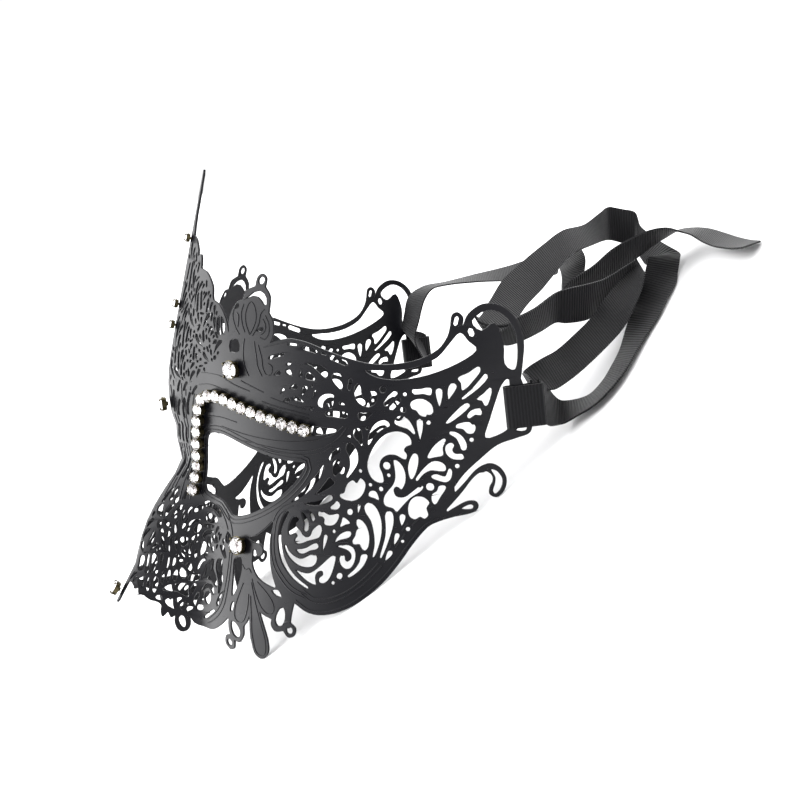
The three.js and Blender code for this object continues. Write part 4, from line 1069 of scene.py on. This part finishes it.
def spaced(points, count):
    """Places at equal steps along a smooth curve through the points."""
    fine = through(points, 40)
    lengths = lengths_along(fine)
    places = []
    for i in range(count):
        goal = lengths[-1] * i / (count - 1)
        k = max(1, next(k for k, length in enumerate(lengths) if length >= goal - 1e-6))
        part = (goal - lengths[k - 1]) / (lengths[k] - lengths[k - 1])
        places.append(tuple(a + (b - a) * part for a, b in zip(fine[k - 1], fine[k])))
    return places


# Single crystals: name, place on the sheet, radius, and how far the cup stands off the sheet
single_crystals = [("crown", 0, 72, forehead_radius, low_stand),
                   ("upper_forehead", 0, 50, forehead_radius, low_stand),
                   ("lower_forehead", 0, 43, forehead_radius, low_stand),
                   ("between_brows", 0, 16, crest_radius, high_stand),
                   ("nose_tip", 0, -48, crest_radius, high_stand)]
for side, hand in hands:
    single_crystals.append((f"{side}_brow", 37.6 * hand, 28.6, large_radius, low_stand))
    single_crystals.append((f"{side}_cheek", 34.6 * hand, -31, large_radius, low_stand))
stalks = {large_radius: 0.3, crest_radius: 0.6, forehead_radius: 0.6}
stone_models = {radius: cut_stone(radius) for radius in (*stalks, row_radius)}
cup_models = {radius: claw_cup(radius, 0, radius / 2 + 0.35, 20, stalk) for radius, stalk in stalks.items()}
for name, u, v, radius, lift in single_crystals:
    cup = copy_to(cup_models[radius], f"{name}_claw_cup", seat_at(u, v, lift))
    add_piece(cup, "claw_metal", f"{name}_cup")
    stone = copy_to(stone_models[radius], f"{name}_cut_stone", seat_at(u, v, lift + cup_floor + radius / 2))
    add_piece(stone, "crystal", f"{name}_crystal")

# The brow rows. The two lowest crystals of each row are in no solid, so they replace none.
row_cup = claw_cup(row_radius - 0.12, row_cup_floor, row_cup_rim, 12)
row_stone_middle = row_stone_lift + row_radius / 2
for side, hand in hands:
    cups = []
    for i, (u, v) in enumerate(spaced(row_line, row_count), 1 - row_start):
        node = f"{side}_row_crystal_{i:02d}"
        name = f"{node}_cut_stone" if i > 0 else f"{side}_low_crystal_{i + row_start}"
        stone = copy_to(stone_models[row_radius], name, seat_at(u * hand, v, row_stone_middle))
        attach(stone, "root")
        if i > 0:
            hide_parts(node)
        cups.append(copy_to(row_cup, f"{side}_row_claw_cups", seat_at(u * hand, v, 0)))
    select_alone(*cups)
    bpy.ops.object.join()
    add_piece(cups[0], "claw_metal", f"{side}_row_cups")
for model in [*stone_models.values(), *cup_models.values(), row_cup]:
    bpy.data.objects.remove(model)
bpy.ops.object.select_all(action="DESELECT")

# Two ribbons of black grosgrain, 13 mm wide, are wound round the bars at the rear of the wings.
# They lie loose behind the mask, folded over and across each other. Each place on a run is a pair of
# edge points in millimetres, and its y starts at the mask's bridge, which lies in front of the origin.
ribbon_width = 0.013
ribbon_thickness = 0.0006
weave_width = 13
faces_across = 6
steps_between = 9
bridge_forward = 66.2
left_loop = [
    ((80.3, 99.6, 20.1), (80.3, 92.8, 9.7)), ((65.3, 103.3, 5.4), (76.4, 96.9, 3.5)),
    ((66.2, 106.5, 3), (78.4, 102, 2.6)), ((68.7, 110.8, 1.7), (81.5, 108.5, 2.4)),
    ((67, 117, 1.4), (79.9, 115.8, 2.2)), ((62, 123.8, 1.5), (75, 123.8, 1.8)),
    ((55, 130.7, 1.4), (68, 131.9, 1.6)), ((48.3, 136.9, 2.2), (60.8, 140.1, 1.2)),
    ((42.6, 143.2, 3.6), (54, 148.9, 1)), ((35, 150.9, 4.3), (45.3, 158.2, 1)),
    ((32.5, 157.6, 7.5), (32.4, 168.6, 0.6)), ((27.7, 163.6, 9.4), (26.2, 174.1, 1.9)),
    ((24.2, 166.2, 9.8), (22.2, 176.5, 2.1)), ((22.7, 164.5, 7.9), (18.5, 176.4, 4.9)),
    ((17.6, 165.8, 9.3), (10.2, 176.5, 9.3)), ((13.5, 167.6, 11.4), (4.8, 176.5, 15)),
    ((5.6, 169.9, 11.1), (1.8, 179.2, 19.4)), ((2.6, 168.2, 13.9), (-1.2, 176.9, 22.8)),
    ((1.6, 165.7, 17.6), (-3.2, 174.1, 26.2)), ((8.8, 161.2, 21.1), (1.3, 169.3, 27.9)),
    ((20.3, 154.2, 25.6), (9.4, 159.3, 30.4)), ((28.4, 145.4, 29.8), (17.8, 149.6, 36)),
    ((35.3, 137, 31.1), (24.9, 139.6, 38.4)), ((43.9, 126.2, 31.7), (34.8, 126.7, 41)),
    ((52, 117.4, 33.1), (43.1, 117.2, 42.6)), ((62.3, 108.4, 34.3), (52, 108, 42.3)),
    ((70.5, 99.7, 36.7), (58.8, 101.2, 42.1)), ((56.1, 99.6, 32.5), (64.9, 99.5, 42.1)),
    ((56.6, 103.1, 28.6), (66.4, 104.4, 37)), ((54.3, 109.6, 25.4), (63, 109.6, 35.1)),
    ((48.2, 115.7, 22.4), (57, 117.4, 31.8)), ((42.5, 122.9, 19.4), (50, 127.2, 29.1)),
    ((43.2, 124.9, 17.3), (48.6, 131, 27.4)), ((40.9, 131, 12.9), (44.9, 138.3, 22.9)),
    ((35.1, 138, 9.8), (41, 144.8, 19.2)), ((31.2, 145.8, 7.2), (36.9, 152.6, 16.7)),
    ((26.5, 153.7, 5.4), (33.7, 159.2, 14.8)),
]
left_end = [
    ((79.2, 97.9, 21.2), (79.2, 91.1, 10.8)), ((64.3, 100.5, 20.7), (75.6, 99.2, 14.4)),
    ((62.4, 107, 19.4), (72.4, 104, 11.6)), ((57.6, 113.7, 16.6), (68.2, 111.4, 9.4)),
    ((53.3, 121.5, 15.2), (63.9, 119.5, 7.9)), ((47.3, 132.6, 14), (57.6, 130.4, 6.4)),
    ((44.6, 139.5, 14.8), (54, 137.3, 6.1)), ((39.3, 146.7, 14.3), (50, 144.4, 7.3)),
    ((34.2, 153.8, 13.6), (45.9, 150.9, 8.8)), ((29.4, 161.2, 13.4), (41.6, 157, 11.3)),
]
right_loop = [
    ((-80.3, 99.6, 20.1), (-80.3, 92.8, 9.7)), ((-77.5, 93.4, 28.2), (-65.1, 93, 24.4)),
    ((-75.3, 98.7, 34.4), (-63, 99.7, 30.3)), ((-74.2, 104, 38.3), (-61.7, 106.2, 35.1)),
    ((-70.8, 110.5, 38.3), (-57.9, 110.8, 37.3)), ((-61.8, 118.2, 34.9), (-49.1, 115.5, 36.4)),
    ((-53.8, 127.3, 31.1), (-41.3, 123.7, 31.3)), ((-42.1, 133.1, 29.3), (-29.9, 129, 27.9)),
    ((-31.3, 138.1, 28.1), (-19.8, 132.6, 25.4)), ((-20.3, 144.5, 27), (-9.6, 138.3, 22.9)),
    ((-9.5, 150.5, 26.6), (-0.8, 142.4, 21.3)), ((1, 154.6, 24.3), (6.6, 142.9, 25.1)),
    ((8.5, 152.5, 21.1), (13.7, 141.2, 25)), ((13.6, 147.3, 18.3), (21, 138.3, 24.2)),
    ((19.4, 141, 16.1), (28.2, 134.3, 23.1)), ((23.2, 137.9, 14.9), (32.5, 131.9, 21.8)),
    ((29.8, 134.1, 14.6), (39.6, 128.7, 21.2)),
]
right_tail = [
    ((27.7, 129.1, 14.3), (35, 132.9, 24.3)), ((26.2, 133.6, 14.3), (33.2, 137.9, 24.4)),
    ((22.5, 142.8, 11.9), (29.2, 147.6, 22)), ((20.3, 153.2, 11.6), (27.8, 157.2, 21.4)),
    ((20.4, 162.6, 11.3), (29.7, 165.1, 20)), ((20.7, 170.7, 10.8), (31.5, 171, 18.1)),
    ((18.8, 177.3, 9.2), (30.5, 175.9, 14.7)), ((16.5, 183, 7.4), (28.7, 179.4, 10.1)),
    ((26.2, 185.5, 6.5), (37.2, 179, 9)), ((33.1, 186.9, 4.8), (42.9, 178.6, 6.8)),
    ((41.6, 187, 3), (50.6, 178, 5.4)), ((51.2, 186.5, 1.6), (59.8, 177.4, 5.2)),
    ((59.8, 186.1, 0.9), (68, 177.1, 5.4)), ((67.1, 186.1, 0.6), (75.1, 177.3, 5.8)),
]


def along_curve(points, t):
    """The place at t, from 0 to 1, on a smooth curve whose speed follows the gaps between its points."""
    spans = len(points) - 1
    first = min(int(t * spans), spans - 1)
    part = t * spans - first
    near = [points[i] if 0 <= i <= spans else None for i in range(first - 1, first + 3)]
    near[0] = near[0] or near[1] * 2 - near[2]
    near[3] = near[3] or near[2] * 2 - near[1]
    gaps = [max((near[k + 1] - near[k]).length ** 0.5, 1e-4) for k in range(3)]
    run = near[2] - near[1]
    start = (near[1] - near[0]) / gaps[0] - (near[2] - near[0]) / (gaps[0] + gaps[1]) + run / gaps[1]
    end = run / gaps[1] - (near[3] - near[1]) / (gaps[1] + gaps[2]) + (near[3] - near[2]) / gaps[2]
    start, end = start * gaps[1], end * gaps[1]
    bend = 2 * near[1] - 2 * near[2] + start + end
    turn = -3 * near[1] + 3 * near[2] - 2 * start - end
    return bend * part**3 + turn * part**2 + start * part + near[1]


def cloth_sheet(name, rows, lengths):
    """A sheet of faces through rows of places, with its width and length in millimetres in a UV map."""
    across = len(rows[0])
    faces = []
    for start in range(0, across * (len(rows) - 1), across):
        faces += [(k, k + 1, k + across + 1, k + across) for k in range(start, start + across - 1)]
    mesh = bpy.data.meshes.new(name)
    mesh.from_pydata([place for row in rows for place in row], [], faces)
    weave = mesh.uv_layers.new(name="weave")
    for corner in mesh.loops:
        row, strand = divmod(corner.vertex_index, across)
        weave.data[corner.index].uv = (strand / (across - 1) * weave_width, lengths[row])
    return add_object(name, mesh)


def ribbon_run(name, places):
    """One flat run of ribbon through pairs of edge points, and its length in metres."""
    edges = [[Vector((x, y - bridge_forward, z)) * 0.001 for x, y, z in edge] for edge in zip(*places)]
    count = (len(places) - 1) * steps_between
    pairs = [[along_curve(edge, i / count) for edge in edges] for i in range(count + 1)]
    middles = [(first + second) / 2 for first, second in pairs]
    lengths = [0]
    for before, after in zip(middles, middles[1:]):
        lengths.append(lengths[-1] + (after - before).length)
    rows = []
    for (first, second), middle in zip(pairs, middles):
        side = (second - first).normalized() * ribbon_width
        rows.append([middle + side * (k / faces_across - 0.5) for k in range(faces_across + 1)])
    return cloth_sheet(name, rows, [length * 1000 for length in lengths]), lengths[-1]


def ribbon_wrap(name, hand):
    """The turn of ribbon round the bar at the rear of a wing, with round corners, and its length."""
    bar_u, bar_v = 134 * hand, 11
    front, back, reach, corner = -3.2, 8.7, 1.6, 1.3
    loop = []
    quarters = ((back, reach, 0), (front, reach, 90), (front, -reach, 180), (back, -reach, 270))
    for centre_a, centre_b, start in quarters:
        centre_a -= math.copysign(corner, centre_a)
        centre_b -= math.copysign(corner, centre_b)
        for step in range(5):
            turn = math.radians(start + step * 22.5)
            loop.append((centre_a + corner * math.cos(turn), centre_b + corner * math.sin(turn)))
    loop.append(loop[0])
    fine_loop = []
    for (a, b), (next_a, next_b) in zip(loop, loop[1:]):
        parts = max(1, round(math.dist((a, b), (next_a, next_b))))
        fine_loop += [(a + (next_a - a) * i / parts, b + (next_b - b) * i / parts) for i in range(parts)]
    fine_loop.append(loop[-1])
    normal = outward(bar_u, bar_v)
    side_way = Vector((0, 0, 1)).cross(normal).normalized()
    up_way = normal.cross(side_way)
    middle = formed(bar_u, bar_v) - normal * sheet_thickness / 2
    rises = [(k / faces_across - 0.5) * weave_width for k in range(faces_across + 1)]
    rows = [[leaning @ (middle + side_way * a * hand + normal * b + up_way * rise) for rise in rises]
            for a, b in fine_loop]
    lengths = lengths_along(fine_loop)
    return cloth_sheet(name, rows, lengths), lengths[-1] * 0.001


# Grosgrain: matt black thread woven into ribs a millimetre apart, across the ribbon
rib_spacing = 1.0
cloth_values = {"Roughness": 0.62, "Specular IOR Level": 0.16, "Sheen Weight": 0.12, "Sheen Roughness": 0.4}
grosgrain, cloth_tree, cloth = new_material("black_grosgrain", cloth_values)
cloth_nodes = cloth_tree.nodes
weave_place = cloth_nodes.new("ShaderNodeUVMap")
weave_place.uv_map = "weave"
split_weave = cloth_nodes.new("ShaderNodeSeparateXYZ")
cloth_tree.links.new(weave_place.outputs["UV"], split_weave.inputs[0])
rib_turn = cloth_nodes.new("ShaderNodeMath")
rib_turn.operation = "MULTIPLY"
rib_turn.inputs[1].default_value = 2 * math.pi / rib_spacing
cloth_tree.links.new(split_weave.outputs["Y"], rib_turn.inputs[0])
rib_wave = cloth_nodes.new("ShaderNodeMath")
rib_wave.operation = "SINE"
cloth_tree.links.new(rib_turn.outputs[0], rib_wave.inputs[0])
rib_height = add_range(cloth_tree, rib_wave.outputs[0], 0, 1, start=-1)
threads = add_noise(cloth_tree, weave_place.outputs["UV"], 6)
# Painted shade and highlight: the ribs' colour is darker in the grooves and lighter on the crests, on top
# of their real bump
rib_painted_shade = add_tones(cloth_tree, rib_height, (0.002, 0.002, 0.003), (0.009, 0.009, 0.011))
# The painted rib shade is multiplied by a random, worn tone of the threads
worn_tones_and_painted_rib_shade = cloth_nodes.new("ShaderNodeMix")
worn_tones_and_painted_rib_shade.data_type = "RGBA"
worn_tones_and_painted_rib_shade.blend_type = "MULTIPLY"
worn_tones_and_painted_rib_shade.inputs["Factor"].default_value = 0.5
cloth_tree.links.new(rib_painted_shade, worn_tones_and_painted_rib_shade.inputs["A"])
cloth_tree.links.new(threads.outputs["Color"], worn_tones_and_painted_rib_shade.inputs["B"])
cloth_tree.links.new(worn_tones_and_painted_rib_shade.outputs["Result"], cloth.inputs["Base Color"])
add_bump(cloth_tree, rib_height, 0.7, 0.0002, cloth)


def make_ribbon(name, hand, runs):
    """Joins the turn round the bar and the loose runs of one ribbon into one piece of cloth."""
    wrap, cloth_length = ribbon_wrap(name, hand)
    strips = []
    for i, run in enumerate(runs):
        strip, run_length = ribbon_run(f"{name}_run_{i}", run)
        strips.append(strip)
        cloth_length += run_length
    select_alone(wrap, *strips)
    bpy.ops.object.join()
    apply_modifier(wrap, "SOLIDIFY", thickness=ribbon_thickness, offset=0)
    soften(wrap, 50)
    wrap.data.materials.append(grosgrain)
    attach(wrap, "root")
    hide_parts(name)


make_ribbon("left_ribbon", 1, [left_loop, left_end])
make_ribbon("right_ribbon", -1, [right_loop, right_tail])

# The scene is brought up to date at the end
bpy.context.view_layer.update()
